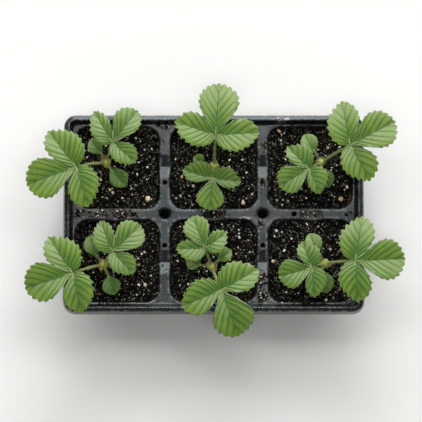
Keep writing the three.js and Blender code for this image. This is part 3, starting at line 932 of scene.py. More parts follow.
# The rim's section as rows of inset from the tray's outline, height, and the share of pale edge,
# partly rubbed and partly a painted highlight along the edges
RIM_PROFILE = np.array([
    [0.15, 44.0, 0.4], [0.0, 44.25, 0.6], [0.03, 44.8, 0.2], [0.35, 47.4, 0.0], [0.75, 50.4, 0.0],
    [1.03, 52.7, 0.2], [1.2, 53.5, 0.8], [1.45, 54.0, 1.0], [1.85, 54.28, 0.5], [2.4, 54.48, 0.0],
    [3.0, 54.7, 0.1], [3.55, 54.9, 0.4], [3.95, 55.0, 1.0], [4.25, 54.85, 1.0], [4.45, 54.4, 0.4],
    [4.8, 53.2, 0.0], [5.35, 51.5, 0.0], [5.95, 49.9, 0.0], [6.2, 49.25, 0.0], [6.4, 49.0, 0.0],
])

# Places on the deck that are dirty: x, y and reach
DECK_DIRT = (
    (-37.4, 55.0, 4.0), (-31.0, 55.9, 5.0), (-52.6, 31.3, 2.5), (-52.5, 1.4, 6.0),
    (31.4, 44.1, 4.0), (31.3, 19.8, 4.0), (30.7, -5.1, 4.5), (30.6, -43.2, 7.0),
    (30.6, -54.6, 6.0), (-89.3, 0.6, 8.0), (-74.0, 0.6, 7.0), (62.1, 0.0, 6.0),
    (-62.1, 0.0, 6.0), (0.0, 0.0, 6.0), (-31.0, 44.0, 3.0),
)

# Chafed places: x, y, half length and half width
SCUFFS = (
    (44.0, 60.0, 7.0, 1.5), (-37.3, 8.9, 1.4, 4.5), (-41.5, 4.1, 3.2, 1.2), (20.0, -2.8, 5.0, 1.0),
)


@dataclass
class CellLoop:
    """The points round one cell, anticlockwise from its right side, as arrays with one row each.

    A wall point at a height is a mix of two corner centres plus the corner radius along a normal.

    Args:
        first, second: numbers of the two corners that a point lies between.
        share: how far it is from the first to the second.
        normal: the outward direction in plan.
        border: the plan point on the edge of the cell's own part of the deck.
        dip: how far a saddle notch lowers the deck there.
        rim: True where the border lies at the foot of the rim.
    """

    first: Array
    second: Array
    share: Array
    normal: Array
    border: Array
    dip: Array
    rim: Array


@dataclass
class Tray:
    """The thermoformed six-cell tray, as one thin sheet.

    Args:
        length, depth, corner: the outline over the skirt, and its corner radius.
        deck_inset: from the outline in to the deck's edge.
        sheet: the sheet's thickness.
        half_divider: half the width of the deck between two cells.
        ledge: the width of the deck between a cell and the rim.
        top_radius, floor_radius: a cell's corner radius at the deck and at its floor.
        floor_half: half a cell floor's length and depth.
        floor_round: the radius between a cell's wall and floor.
        lip, lip_turn: the radius and the angle of the bend from the deck into a cell.
        crossing_hole, small_hole, drain: radii of the holes.
        small_hole_out: from a small hole to its crossing.
        notch_half, notch_step, notch_depth: a saddle notch's half length, first step and depth.
        spacing: between points along a side.
    """

    length: float = 191.5
    depth: float = 127.0
    corner: float = 8.0
    deck_inset: float = 6.4
    sheet: float = 0.9
    half_divider: float = 3.2
    ledge: float = 1.0
    top_radius: float = 9.0
    floor_radius: float = 6.0
    floor_half: tuple[float, float] = (21.0, 20.25)
    floor_round: float = 1.8
    lip: float = 1.0
    lip_turn: float = math.radians(82)
    crossing_hole: float = 3.1
    small_hole: float = 1.5
    drain: float = 5.0
    small_hole_out: float = 20.0
    notch_half: float = 7.15
    notch_step: float = 0.6
    notch_depth: float = 4.0
    spacing: float = 1.9

    @property
    def half(self) -> Array:
        """Half the outline's length and depth."""
        return np.array([self.length / 2, self.depth / 2])

    def ends(self, cell: Cell) -> Array:
        """The lowest and highest x and y of the cell's own part of the deck: [[x, x], [y, y]]."""
        x, y = self.half - self.deck_inset
        left, right = cell.centre[0] - PITCH_X / 2, cell.centre[0] + PITCH_X / 2
        return np.array([[max(left, -x), min(right, x)], [0.0, y] if cell.row > 0 else [-y, 0.0]])

    def gaps(self, cell: Cell) -> Array:
        """How far the opening keeps from those ends: half a divider, or the ledge at the rim."""
        outer = [[cell.column == -1, cell.column == 1], [cell.row == -1, cell.row == 1]]
        return np.where(outer, self.ledge, self.half_divider)

    def notch_dip(self, away: Array) -> Array:
        """How deep a saddle notch is at a distance from its middle.

        The profile goes down in a low step and then in a straight slope to a sharp valley. Each is
        a clipped straight line, and the whole is the mean over a width of 0.5 mm, which rounds its
        corners.
        """
        step_width, slope_inset = 0.3, 0.8
        total = np.zeros_like(away)
        shifts = np.linspace(-0.25, 0.25, 5)
        for shift in shifts:
            a = np.abs(away + shift)
            step = np.clip((self.notch_half - a) / step_width, 0, 1)
            slope = np.clip(1 - a / (self.notch_half - slope_inset), 0, 1)
            total += self.notch_step * step + (self.notch_depth - self.notch_step) * slope
        return total / len(shifts)

    def side_stops(self, low: float, high: float, notch: float | None, hole: float | None) -> Array:
        """Places along one straight side, closer together at the notch and round the small hole."""
        notch_reach, notch_clear, hole_clear = 8.4, 9.0, 0.4
        stops = np.linspace(low, high, max(3, round((high - low) / self.spacing) + 1))[1:-1]
        if notch is not None:
            fine = np.linspace(notch - notch_reach, notch + notch_reach, 37)
            stops = np.concatenate([stops[np.abs(stops - notch) > notch_clear], fine])
        if hole is not None:
            ring = hole - self.small_hole * np.cos(np.linspace(0, np.pi, 9))
            apart = np.abs(stops - hole) > self.small_hole + hole_clear
            stops = np.concatenate([stops[apart], ring])
        return np.sort(stops)

    def corner_border(self, kind: Corner, a: float, b: float) -> Array:
        """The border past one corner, in the corner's own directions.

        It goes from (a, 0) past (a, b) to (0, b). A crossing cuts a quarter of its hole out of
        that corner, and the tray's own corner is rounded.

        Args:
            kind: what the corner is.
            a: distance from the corner's centre to the first border line.
            b: distance to the second one.

        Returns:
            The points, one more than there are steps round a corner.
        """
        rounded = self.corner - self.deck_inset
        radius = {Corner.CROSSING: self.crossing_hole, Corner.OUTER: rounded}.get(kind, 0.0)
        count = CORNER_STEPS // (3 if radius else 2) + 1
        start = np.stack([np.full(count, a), np.linspace(0, b - radius, count)], -1)
        end = np.stack([np.linspace(a - radius, 0, count), np.full(count, b)], -1)[1:]
        if kind is Corner.JUNCTION:
            return np.concatenate([start, end])
        if kind is Corner.CROSSING:
            turn, middle = np.linspace(-np.pi / 2, -np.pi, count), np.array([a, b])
        else:
            turn, middle = np.linspace(0, np.pi / 2, count), np.array([a - radius, b - radius])
        arc = middle + radius * np.stack([np.cos(turn), np.sin(turn)], -1)
        return np.concatenate([start[:-1], arc, end])

    def corner_centres(self, cell: Cell, height: Array) -> Array:
        """The centres of the wall's four corners at each height, from the right front one on."""
        ends, gaps = self.ends(cell), self.gaps(cell)
        share = (np.asarray(height) / DECK)[..., None]
        inner = np.array(self.floor_half) - self.floor_radius
        top_low = ends[:, 0] + gaps[:, 0] + self.top_radius
        top_high = ends[:, 1] - gaps[:, 1] - self.top_radius
        lows = (1 - share) * (cell.centre - inner) + share * top_low
        highs = (1 - share) * (cell.centre + inner) + share * top_high
        x0, y0, x1, y1 = lows[..., 0], lows[..., 1], highs[..., 0], highs[..., 1]
        return np.stack([np.stack(p, -1) for p in ((x1, y0), (x1, y1), (x0, y1), (x0, y0))], -2)

    def loop(self, cell: Cell) -> CellLoop:
        """Works out the points round a cell: each side's stops, then the corner that follows."""
        centres = self.corner_centres(cell, np.array(DECK))
        at_rim = (self.gaps(cell) < self.half_divider)[[0, 1, 0, 1], [1, 1, 0, 0]]
        across = self.top_radius + np.where(at_rim, self.ledge, self.half_divider)
        turn = np.linspace(0, np.pi / 2, CORNER_STEPS + 1)[:, None]
        step = np.arange(CORNER_STEPS + 1)
        stretches = []
        for k, axis in enumerate((1, 0, 1, 0)):
            follow = (k + 1) % 4
            start, end = centres[k], centres[follow]
            normal, following = SIDE_NORMALS[k], SIDE_NORMALS[follow]
            notch = None if at_rim[k] else cell.centre[axis]
            hole = None if at_rim[k] else self.hole_on(cell, axis)
            stops = self.side_stops(*sorted((start[axis], end[axis])), notch, hole)
            stops = stops if end[axis] > start[axis] else stops[::-1]
            share = (stops - start[axis]) / (end[axis] - start[axis])
            border = start + share[:, None] * (end - start) + across[k] * normal
            if hole is not None:
                bite = np.sqrt(np.maximum(self.small_hole**2 - (stops - hole) ** 2, 0))
                border -= bite[:, None] * normal
            dip = np.zeros(len(stops)) if notch is None else self.notch_dip(stops - notch)
            normals = np.tile(normal, (len(stops), 1))
            stretches.append((k, follow, share, normals, border, dip, at_rim[k]))
            if at_rim[k] and at_rim[follow]:
                kind, on_rim = Corner.OUTER, True
            elif at_rim[k] or at_rim[follow]:
                kind, middle = Corner.JUNCTION, CORNER_STEPS // 2
                on_rim = step >= middle if at_rim[follow] else step <= middle
            else:
                kind, on_rim = Corner.CROSSING, False
            local = self.corner_border(kind, across[k], across[follow])
            normals = np.cos(turn) * normal + np.sin(turn) * following
            border = end + local[:, :1] * normal + local[:, 1:] * following
            stretches.append((follow, follow, 0.0, normals, border, 0.0, on_rim))
        rows = []
        for stretch in stretches:
            count = len(stretch[3])
            rows.append([v if np.ndim(v) == 2 else np.broadcast_to(v, count) for v in stretch])
        return CellLoop(*map(np.concatenate, zip(*rows)))

    def hole_on(self, cell: Cell, axis: int) -> float | None:
        """Where the small hole lies along a divider side of the cell, or None."""
        if axis == 1:
            return cell.row * self.small_hole_out
        return cell.column * (PITCH_X / 2 + self.small_hole_out) if cell.column else None

    def wall_point(self, cell: Cell, loop: CellLoop, height: Array, out: Array | float) -> Array:
        """Points of the cell wall at given heights, moved out of the cell by a distance.

        The point = (1 - share) * first corner's centre + share * second one's + radius * normal,
        where centres and radius change evenly from the floor to the deck.
        """
        centres = self.corner_centres(cell, height)
        index = np.arange(len(height))
        middle = (1 - loop.share)[:, None] * centres[index, loop.first]
        middle = middle + loop.share[:, None] * centres[index, loop.second]
        rise = height / DECK
        radius = (1 - rise) * self.floor_radius + rise * self.top_radius + out
        return np.concatenate([middle + radius[:, None] * loop.normal, height[:, None]], 1)

    def cell_rings(self, cell: Cell, loop: CellLoop) -> tuple[Array, Array]:
        """Rings of points from the deck's border down to the drain hole, and for each the share of
        pale edge, partly rubbed and partly a painted highlight along the lip.
        """
        top = DECK - loop.dip
        edge = self.wall_point(cell, loop, top, self.lip)
        border = np.concatenate([loop.border, top[:, None]], 1)
        # The number with each ring is its share of pale edge: partly rubbed, partly a painted
        # highlight along the lip
        rings = [(border, 0.0), (0.5 * border + 0.5 * edge, 0.0), (edge, 0.6)]
        for angle in np.linspace(0, self.lip_turn, 6)[1:]:
            height = top - self.lip * (1 - math.cos(angle))
            ring = self.wall_point(cell, loop, height, self.lip * (1 - math.sin(angle)))
            rings.append((ring, 1.0 if angle < 1.1 else 0.3))
        upper, foot = rings[-1][0][:, 2], self.sheet + self.floor_round
        for share in (0.1, 0.22, 0.4, 0.6, 0.8, 1.0):
            rings.append((self.wall_point(cell, loop, upper + share * (foot - upper), 0.0), 0.0))
        for angle in np.linspace(0, np.pi / 2, 5)[1:]:
            height = np.full(len(top), foot - self.floor_round * math.sin(angle))
            ring = self.wall_point(cell, loop, height, -self.floor_round * (1 - math.cos(angle)))
            rings.append((ring, 0.0))
        floor = rings[-1][0]
        plan = floor[:, :2] - cell.centre
        drain = plan / np.linalg.norm(plan, axis=1, keepdims=True) * self.drain
        for share in (0.45, 1.0):
            flat = cell.centre + (1 - share) * plan + share * drain
            rings.append((np.concatenate([flat, floor[:, 2:]], 1), 0.0))
        points, wear = zip(*rings)
        return np.array(points), np.array(wear)

    def cell_surface(self, cell: Cell) -> Surface:
        """The deck, wall and floor of one cell, with the stretch of rim beside it.

        Args:
            cell: which cell.

        Returns:
            Its open surface, which faces up and into the cell.
        """
        loop = self.loop(cell)
        inside = self.banded(*self.cell_rings(cell, loop), np.ones(len(loop.share), bool))
        straight = self.half - self.corner
        out = unit(loop.border - np.clip(loop.border, -straight, straight))
        reach = self.deck_inset - RIM_PROFILE[:, 0]
        plans = loop.border[None] + reach[:, None, None] * out[None]
        heights = np.broadcast_to(RIM_PROFILE[:, 1, None, None], (*plans.shape[:2], 1))
        rim = self.banded(np.concatenate([plans, heights], 2), RIM_PROFILE[:, 2], loop.rim)
        return joined([inside, rim])

    @staticmethod
    def banded(rings: Array, wear: Array, kept: Array) -> Surface:
        """Rings of points, from the outside in, as one surface with only the kept columns."""
        bands, count = rings.shape[:2]
        triangles = sheet_triangles(count, bands, closed=True)
        first, last = triangles.min(1) // bands, triangles.max(1) // bands
        column = np.where(last - first > 1, last, first)
        triangles = triangles[kept[column] & kept[(column + 1) % count]]
        points = rings.transpose(1, 0, 2).reshape(-1, 3)
        return Surface(points, triangles, marks={"wear": np.tile(wear, count)})

    def build(self, shop: Workshop) -> None:
        """Adds the tray to the scene: six cells welded into one sheet and given its thickness."""
        sheet = welded(joined([self.cell_surface(cell) for cell in CELLS]))
        x, y, z = sheet.points.T
        dirt, scuff = np.zeros(len(x)), np.zeros(len(x))
        for place_x, place_y, reach in DECK_DIRT:
            away = np.hypot(x - place_x, y - place_y)
            dirt = np.maximum(dirt, np.exp(-((away / reach) ** 2)))
        for place_x, place_y, long, wide in SCUFFS:
            away = np.hypot((x - place_x) / long, (y - place_y) / wide)
            scuff = np.maximum(scuff, smooth_step(-away, -1.0, -0.6))
        on_deck = (z > DECK - 7) & (z < DECK + 0.2)
        sheet.marked(dirt=dirt * on_deck, scuff=scuff * (z > DECK - 0.3))
        body = thickened(sheet, self.sheet)
        shop.piece("seedling_tray", body, [BlackPlastic()], "black_plastic", "tray")


# --------------------------------------------------------------------- soil

# The larger stones that show: cell, x, y, radius and tint from white 0 to orange 1
STONES = (
    ("back_right", 41.7, 53.4, 1.5, 0.5), ("back_right", 81.0, 9.8, 1.6, 0.8),
    ("back_right", 84.9, 17.5, 1.4, 0.4), ("back_middle", -13.2, 18.1, 1.2, 0.25),
    ("back_middle", -20.2, 23.9, 1.2, 0.75), ("back_middle", 24.4, 13.0, 1.1, 0.4),
    ("back_middle", 18.7, 7.3, 1.7, 0.6), ("back_left", -66.0, 15.6, 1.2, 0.5),
    ("back_left", -64.1, 13.7, 1.1, 0.35), ("back_left", -41.8, 9.8, 1.6, 0.6),
    ("front_left", -43.6, -45.0, 1.5, 0.45), ("front_left", -47.4, -45.0, 1.2, 0.1),
    ("front_right", 37.7, -29.7, 1.5, 0.55), ("front_right", 71.2, -54.5, 1.4, 0.45),
)


@dataclass
class SoilFill:
    """The crumbly fill of one cell, with its loose crumbs, perlite and stones.

    Args:
        cell: the cell that it fills.
        crown: where the plant stands, in plan.
        tray: the tray.
        level: the height at which the fill takes its outline.
        edge: its height beside the wall, before the domes.
        mound: how much higher its middle is.
        steps: points along each side of its grid.
        domes: how many domes its relief is made of.
        crumbs, perlite, slivers: how many of each lie on it.
        chunk: how many points of the grid are worked out at a time.
    """

    cell: Cell
    crown: Plan
    tray: Tray
    level: float = 45.4
    edge: float = 44.5
    mound: float = 1.1
    steps: int = 104
    domes: int = 1100
    crumbs: int = 330
    perlite: int = 140
    slivers: int = 16
    chunk: int = 4000

    def random(self, extra: int) -> Random:
        """A source of chance for this cell."""
        return np.random.default_rng(100 * (CELLS.index(self.cell) + 1) + extra)

    def reach(self, height: float, clear: float) -> tuple[Array, Array, float]:
        """The middle, half sizes and corner radius of the fill at a height."""
        centres = self.tray.corner_centres(self.cell, np.array(height))
        rise = height / DECK
        radius = (1 - rise) * self.tray.floor_radius + rise * self.tray.top_radius - clear
        low, high = centres.min(0), centres.max(0)
        return (low + high) / 2, (high - low) / 2 + radius, radius

    def spread(self, square: Array, height: float, clear: float = 0.15) -> Array:
        """Plan points of the fill for points of the square from -1 to 1.

        A point moves in towards the middle by the ratio of the rounded outline's distance to the
        square outline's distance along its own ray, so that the square's corners become round.

        Args:
            square: the points of the square.
            height: where the outline is taken.
            clear: how far it keeps from the wall.

        Returns:
            The plan points.
        """
        middle, half, radius = self.reach(height, clear)
        ring = np.maximum(np.abs(square).max(-1, keepdims=True), 1e-9)
        ray = np.abs(square) / ring * half
        inner = half - radius
        dot = (ray * inner).sum(-1)
        size = (ray**2).sum(-1)
        root = np.sqrt(np.maximum(dot**2 - size * ((inner**2).sum() - radius**2), 0))
        near = (dot + root) / size
        corner = (ray * near[..., None] > inner - 1e-9).all(-1)
        ratio = np.where(corner, np.minimum(near, 1), 1)
        return middle + square * half * ratio[..., None]

    def relief(self, plan: Array) -> tuple[Array, Array]:
        """Height and tone of the soil at plan points.

        Height = edge + mound * (1 - r^2) - 2.4 exp(-(d / 5)^2) at a distance d from each notch +
        the highest of many domes, each rise * sqrt(1 - (distance / radius)^2), + fine noise. The
        tone is that of the dome that is highest.
        """
        random = self.random(1)
        middle, half, _ = self.reach(self.level, 0.0)
        away = (plan - middle) / half
        base = self.edge + self.mound * (1 - np.minimum((away**2).sum(-1), 1))
        for x, y in self.notch_mouths():
            near = np.hypot(plan[..., 0] - x, plan[..., 1] - y)
            base = base - 2.4 * np.exp(-((near / 5.0) ** 2))
        spots = middle + random.uniform(-1, 1, (self.domes, 2)) * half
        radii = 0.7 + 1.9 * random.uniform(0, 1, self.domes) ** 2.5
        rises = radii * random.uniform(0.35, 0.8, self.domes)
        tones = random.uniform(0, 1, self.domes) ** 1.4
        flat = plan.reshape(-1, 2).astype(np.float32)
        domes, tone = np.zeros(len(flat)), np.zeros(len(flat))
        for start in range(0, len(flat), self.chunk):
            some = slice(start, start + self.chunk)
            x, y = (flat[some, None, k] - spots[:, k] for k in (0, 1))
            dome = rises * np.sqrt(np.maximum(1 - (x**2 + y**2) / radii**2, 0))
            domes[some], tone[some] = dome.max(1), tones[dome.argmax(1)]
        bumps = random.normal(size=domes.shape) * 0.06
        return base + (domes + bumps).reshape(base.shape), tone.reshape(base.shape)

    def notch_mouths(self) -> list[Plan]:
        """Plan points where saddle notches open into this cell."""
        x, y = self.cell.centre
        aside = PITCH_X / 2 - self.tray.half_divider
        sides = [side for side in (-1, 1) if abs(self.cell.column + side) <= 1]
        mouths = [(x + side * aside, y) for side in sides]
        return [(x, self.cell.row * self.tray.half_divider), *mouths]

    def block(self) -> Surface:
        """The fill itself: the relief on a grid, then rings down the walls to a flat foot."""
        count = self.steps
        axis = np.linspace(-1, 1, count)
        square = np.stack(np.meshgrid(axis, axis, indexing="ij"), -1)
        plan = self.spread(square, self.level)
        height, tone = self.relief(plan)
        top = np.concatenate([plan, height[..., None]], -1).reshape(-1, 3)
        surface = Surface(top, sheet_triangles(count, count), marks={"tone": tone.ravel()})
        number = np.arange(count * count).reshape(count, count)
        border = np.concatenate(
            [number[0, :-1], number[:-1, -1], number[-1, :0:-1], number[:0:-1, 0]])
        outline = square.reshape(-1, 2)[border]
        foot = self.tray.sheet + 0.2
        walls = [
            (self.spread(outline, level, clear), level)
            for level, clear in ((30.0, 0.2), (foot + 2.0, 0.3), (foot, 2.0))
        ]
        walls.append((self.cell.centre + outline * 0.01, foot))
        rings = [np.insert(ring, 2, level, axis=1) for ring, level in walls]
        points = np.stack([top[border], *rings], 1).reshape(-1, 3)
        sides = sheet_triangles(len(border), len(walls) + 1, closed=True)[:, ::-1]
        skirt = Surface(points, sides).marked(tone=0.3)
        return welded(joined([surface, skirt]), 0.0005)

    def places(self, random: Random, count: int, edge: float = 0.96) -> Array:
        """Chance points on the soil, away from the crown.

        Args:
            random: the source of chance.
            count: how many, at most.
            edge: how far out they reach, as a share of the way to the wall.

        Returns:
            One row of x, y, z for each.
        """
        plan = self.spread(random.uniform(-edge, edge, (2 * count, 2)), self.level)
        clear = np.hypot(plan[:, 0] - self.crown[0], plan[:, 1] - self.crown[1]) > 3.6
        return self.on_soil(plan[clear][:count])

    def on_soil(self, plan: Array) -> Array:
        """Points on the soil at plan points."""
        return np.concatenate([plan, self.relief(plan)[0][:, None]], 1)

    def crumb_surface(self) -> Surface:
        """Loose crumbs that lie on the fill."""
        random = self.random(2)
        sizes = 0.35 + 0.95 * random.uniform(0, 1, self.crumbs) ** 3
        places = self.places(random, self.crumbs)
        crumbs = Scatter(jagged_lump(), 0.22, (0.6, 1.25))
        return crumbs.at(places, sizes[:len(places)], random)

    def grain_surface(self) -> Surface:
        """Perlite, which is white and mostly small, and the few larger stones of this cell."""
        random = self.random(3)
        places = self.places(random, self.perlite, 0.93)
        sizes = 0.20 + 0.62 * random.uniform(0, 1, len(places)) ** 3.2
        places[:, 2] += 0.45 * sizes
        lump = jagged_lump()
        perlite = Scatter(lump, 0.2, (0.6, 1.4)).at(places, sizes, random)
        perlite.marked(tint=perlite.marks["tone"] ** 4 * 0.5)
        stones = np.array([row for name, *row in STONES if name == self.cell.name])
        if not len(stones):
            return perlite
        spots, (sizes, tints) = self.on_soil(stones[:, :2]), stones[:, 2:].T
        spots[:, 2] += 0.3 * sizes
        larger = Scatter(lump, 0.2, (0.6, 1.2)).at(spots, sizes, random)
        return joined([perlite, larger.marked(tint=np.repeat(tints, len(lump.points)))])

    def fibre_surface(self) -> Surface:
        """Bark slivers: short bent stalks that lie on the soil."""
        random = self.random(4)
        return joined([sliver(place, random) for place in self.places(random, self.slivers, 0.9)])

    def build(self, shop: Workshop) -> None:
        """Adds the fill and what lies on it to the scene."""
        name = self.cell.name
        body = joined([self.block(), self.crumb_surface(), self.fibre_surface()])
        shop.piece(f"potting_mix_{name}", body, [PottingMix()], "potting_soil", f"soil_{name}")
        shop.piece(f"perlite_{name}", self.grain_surface(), [PaleGrain()], "potting_soil")


# What is spilt on the deck: the x and y of a cluster, its spread along each, and how many bits
SPILT = (
    (-36.0, 54.9, 2.5, 1.0, 26), (-29.5, 55.9, 3.5, 0.8, 34), (-25.9, 54.3, 1.5, 0.6, 10),
    (-31.5, 46.9, 1.0, 1.0, 8), (-52.0, 0.9, 3.5, 2.4, 60), (-60.5, 0.0, 5.0, 2.2, 150),
    (0.0, 0.0, 5.0, 2.2, 170), (61.5, 0.0, 4.5, 2.0, 60), (31.2, 43.4, 2.0, 2.0, 34),
    (31.2, 19.4, 2.2, 3.0, 40), (29.6, -6.6, 2.0, 2.2, 40), (30.8, -42.6, 2.2, 4.5, 110),
    (30.8, -53.1, 3.5, 2.6, 130), (-86.0, 0.4, 3.5, 2.0, 60), (-75.0, 0.4, 5.0, 2.0, 60),
    (24.0, -54.6, 5.0, 1.4, 60), (85.0, 0.0, 2.0, 2.0, 14), (-31.0, -37.1, 1.0, 3.0, 10),
    (62.0, -56.6, 14.0, 0.4, 26), (-61.0, -56.6, 16.0, 0.4, 26), (0.0, -56.6, 14.0, 0.4, 18),
)


@dataclass
class Spill:
    """Crumbs, grains and bark that lie on the deck and in the notches.

    Args:
        tray: the tray that they lie on.
        seed: where its chance starts.
        pale_share: the share of pale grains.
        bark_step: one dark place in so many also has a sliver of bark.
    """

    tray: Tray
    seed: int = 77
    pale_share: float = 0.16
    bark_step: int = 17

    def surfaces(self) -> tuple[Surface, Surface]:
        """Clusters of chance points round given places, with the deck's height under each.

        Returns:
            The dark crumbs and bark, and the pale grains.
        """
        random = np.random.default_rng(self.seed)
        plan = np.concatenate([
            np.array([x, y]) + random.normal(size=(count, 2)) * [wide, deep] * 0.75
            for x, y, wide, deep, count in SPILT
        ])
        height = self.deck_height(plan)
        sizes = 0.22 + 0.75 * random.uniform(0, 1, len(plan)) ** 3
        spots = np.concatenate([plan, (height + 0.5 * sizes)[:, None]], 1)
        kept = ~np.isnan(height)
        spots, sizes = spots[kept], sizes[kept]
        pale = random.uniform(0, 1, len(spots)) < self.pale_share
        dark = Scatter(jagged_lump(), 0.25, (0.6, 1.3)).at(spots[~pale], sizes[~pale], random)
        dark.marked(tone=0.55 + 0.45 * dark.marks["tone"])
        pebbles = Scatter(rounded_lump(), 0.12, (0.7, 1.15))
        light = pebbles.at(spots[pale], 0.8 * sizes[pale], random)
        light.marked(tint=light.marks["tone"] ** 2 * 0.6)
        bark = [sliver(spot, random) for spot in spots[~pale][::self.bark_step]]
        return joined([dark, *bark]), light

    def deck_height(self, plan: Array) -> Array:
        """The deck's height at plan points, or not a number where there is no deck."""
        tray, clear = self.tray, 0.3
        x, y = plan.T
        near_x = np.abs(np.abs(x) - PITCH_X / 2)
        upright = near_x < tray.half_divider - clear
        level = np.abs(y) < tray.half_divider - clear
        column = np.round(x / PITCH_X) * PITCH_X
        row = np.sign(y) * PITCH_Y / 2
        dip = np.where(level & ~upright, tray.notch_dip(x - column), 0.0)
        dip = np.where(upright & ~level, tray.notch_dip(y - row), dip)
        in_rim = (np.abs(x) < tray.length / 2 - 6.8) & (np.abs(y) < tray.depth / 2 - 6.6)
        ledge = np.abs(y) > tray.depth / 2 - tray.deck_inset - tray.ledge
        hole = np.hypot(near_x, y) < tray.crossing_hole + clear
        return np.where((upright | level | ledge) & in_rim & ~hole, DECK - dip, np.nan)

    def build(self, shop: Workshop) -> None:
        """Adds what is spilt to the scene."""
        dark, light = self.surfaces()
        shop.piece("spilt_crumbs", dark, [PottingMix()], "potting_soil")
        shop.piece("spilt_perlite", light, [PaleGrain()], "potting_soil")


# ------------------------------------------------------------------- plants

# Where the chance of the leaves and of the crowns starts
LEAF_SEED, CROWN_SEED = 1000, 2000

# Points of a blade's edge for each of its teeth
TOOTH_STEPS = 8


@dataclass(frozen=True)
class BladeForm:
    """How the blades of one class of leaf are made.

    Args:
        tooth_pitch: the length of edge that a tooth takes up.
        tooth_depth: how deep the notches between them are.
        fold: how steeply the halves rise from the midrib.
        pitch: how steeply the midrib rises at first.
        droop: how much it bends down again.
        pleat: how deep the veins are sunk.
        stalk: the radius of the petiole.
        sheet: the blade's thickness.
        steps: grid steps across one half.
    """

    tooth_pitch: float
    tooth_depth: float
    fold: float
    pitch: float
    droop: float
    pleat: float
    stalk: float
    sheet: float
    steps: int


class LeafClass(Enum):
    """The three classes of leaf on a young plant."""

    LARGE = BladeForm(4.3, 1.25, 0.34, 0.26, 0.38, 0.25, 0.76, 0.36, 13)
    MID = BladeForm(3.5, 1.05, 0.36, 0.26, 0.34, 0.20, 0.66, 0.34, 11)
    YOUNG = BladeForm(3.2, 0.32, 0.36, 0.30, 0.30, 0.05, 0.52, 0.32, 9)


@dataclass(frozen=True)
class OutlineForm:
    """How the edge of half a blade runs.

    Args:
        early: the power that moves its widest place.
        below, beyond: the powers of its swell before that place and past it.
        bare: the share of the edge that has no teeth.
        crowding: how the veins crowd at the midrib's foot.
        deeper: how deep its notches are, over what its leaf class has.
    """

    early: float
    below: float
    beyond: float
    bare: float
    crowding: float
    deeper: float = 1.0

    def swell(self, along: Array) -> Array:
        """The half-width over its greatest, sin(pi * along^early) to the power on that side."""
        way = np.clip(along, 0, 1 - 1e-9) ** self.early
        return np.sin(np.pi * way) ** np.where(way < 0.5, self.below, self.beyond)


class Outline(Enum):
    """Half an end leaflet, the narrow and full halves of a side one, and half a young blade."""

    END = OutlineForm(1.5, 0.85, 0.50, 0.30, 3.2)
    NARROW = OutlineForm(1.3, 0.75, 0.50, 0.30, 3.0)
    FULL = OutlineForm(0.8, 0.43, 0.62, 0.20, 2.9, 1.25)
    OVAL = OutlineForm(1.12, 0.66, 0.66, 0.25, 2.8)


@dataclass
class Line:
    """A line in plan that is followed by its own length.

    Args:
        points: its points.
        arc: its length before each of them.
    """

    points: Array
    arc: Array = field(init=False)

    def __post_init__(self) -> None:
        """Measures the line."""
        steps = np.linalg.norm(np.diff(self.points, axis=0), axis=1)
        self.arc = np.concatenate([[0], np.cumsum(steps)])

    def at(self, share: Array) -> Array:
        """The points at shares of its length."""
        way = share * self.arc[-1]
        return np.stack([np.interp(way, self.arc, self.points[:, k]) for k in (0, 1)], -1)


@dataclass
class Margin:
    """The toothed edge of half a blade, as rows of points from the stalk to the tip.

    Args:
        turn: how many teeth lie before each point. Notches are at whole numbers.
        way: the share of the edge before each point.
        plain: the points without teeth.
        notched: the points with teeth.
        crowding: the power that sets where a row starts on the midrib.
    """

    turn: Array
    way: Array
    plain: Array
    notched: Array
    crowding: float


def lobes(turn: Array, teeth: int, pointed: float) -> Array:
    """How full the edge is: 1 where it is bare and at the peak of a tooth, 0 in a notch.

    A tooth rises over three quarters of its step and falls over the rest, as sin^0.85 and cos^0.85
    where it is round and in straight lines where it is pointed. The one at the tip is even.

    Args:
        turn: how many teeth lie before each place.
        teeth: how many there are before the one at the tip.
        pointed: from 0, round, to 1, pointed.

    Returns:
        One number for each place.
    """
    part = turn % 1.0
    climb, fall = np.minimum(part / 0.75, 1), np.clip(4 * part - 3, 0, 1)
    lobe = (np.sin(np.pi / 2 * climb) * np.cos(np.pi / 2 * fall)) ** 0.85
    lobe += (climb * (1 - fall) - lobe) * pointed
    tip = np.sin(np.pi * np.abs(turn - teeth)) ** 0.85
    return np.where(turn < -0.25, 1, np.where(turn >= teeth, tip, lobe))


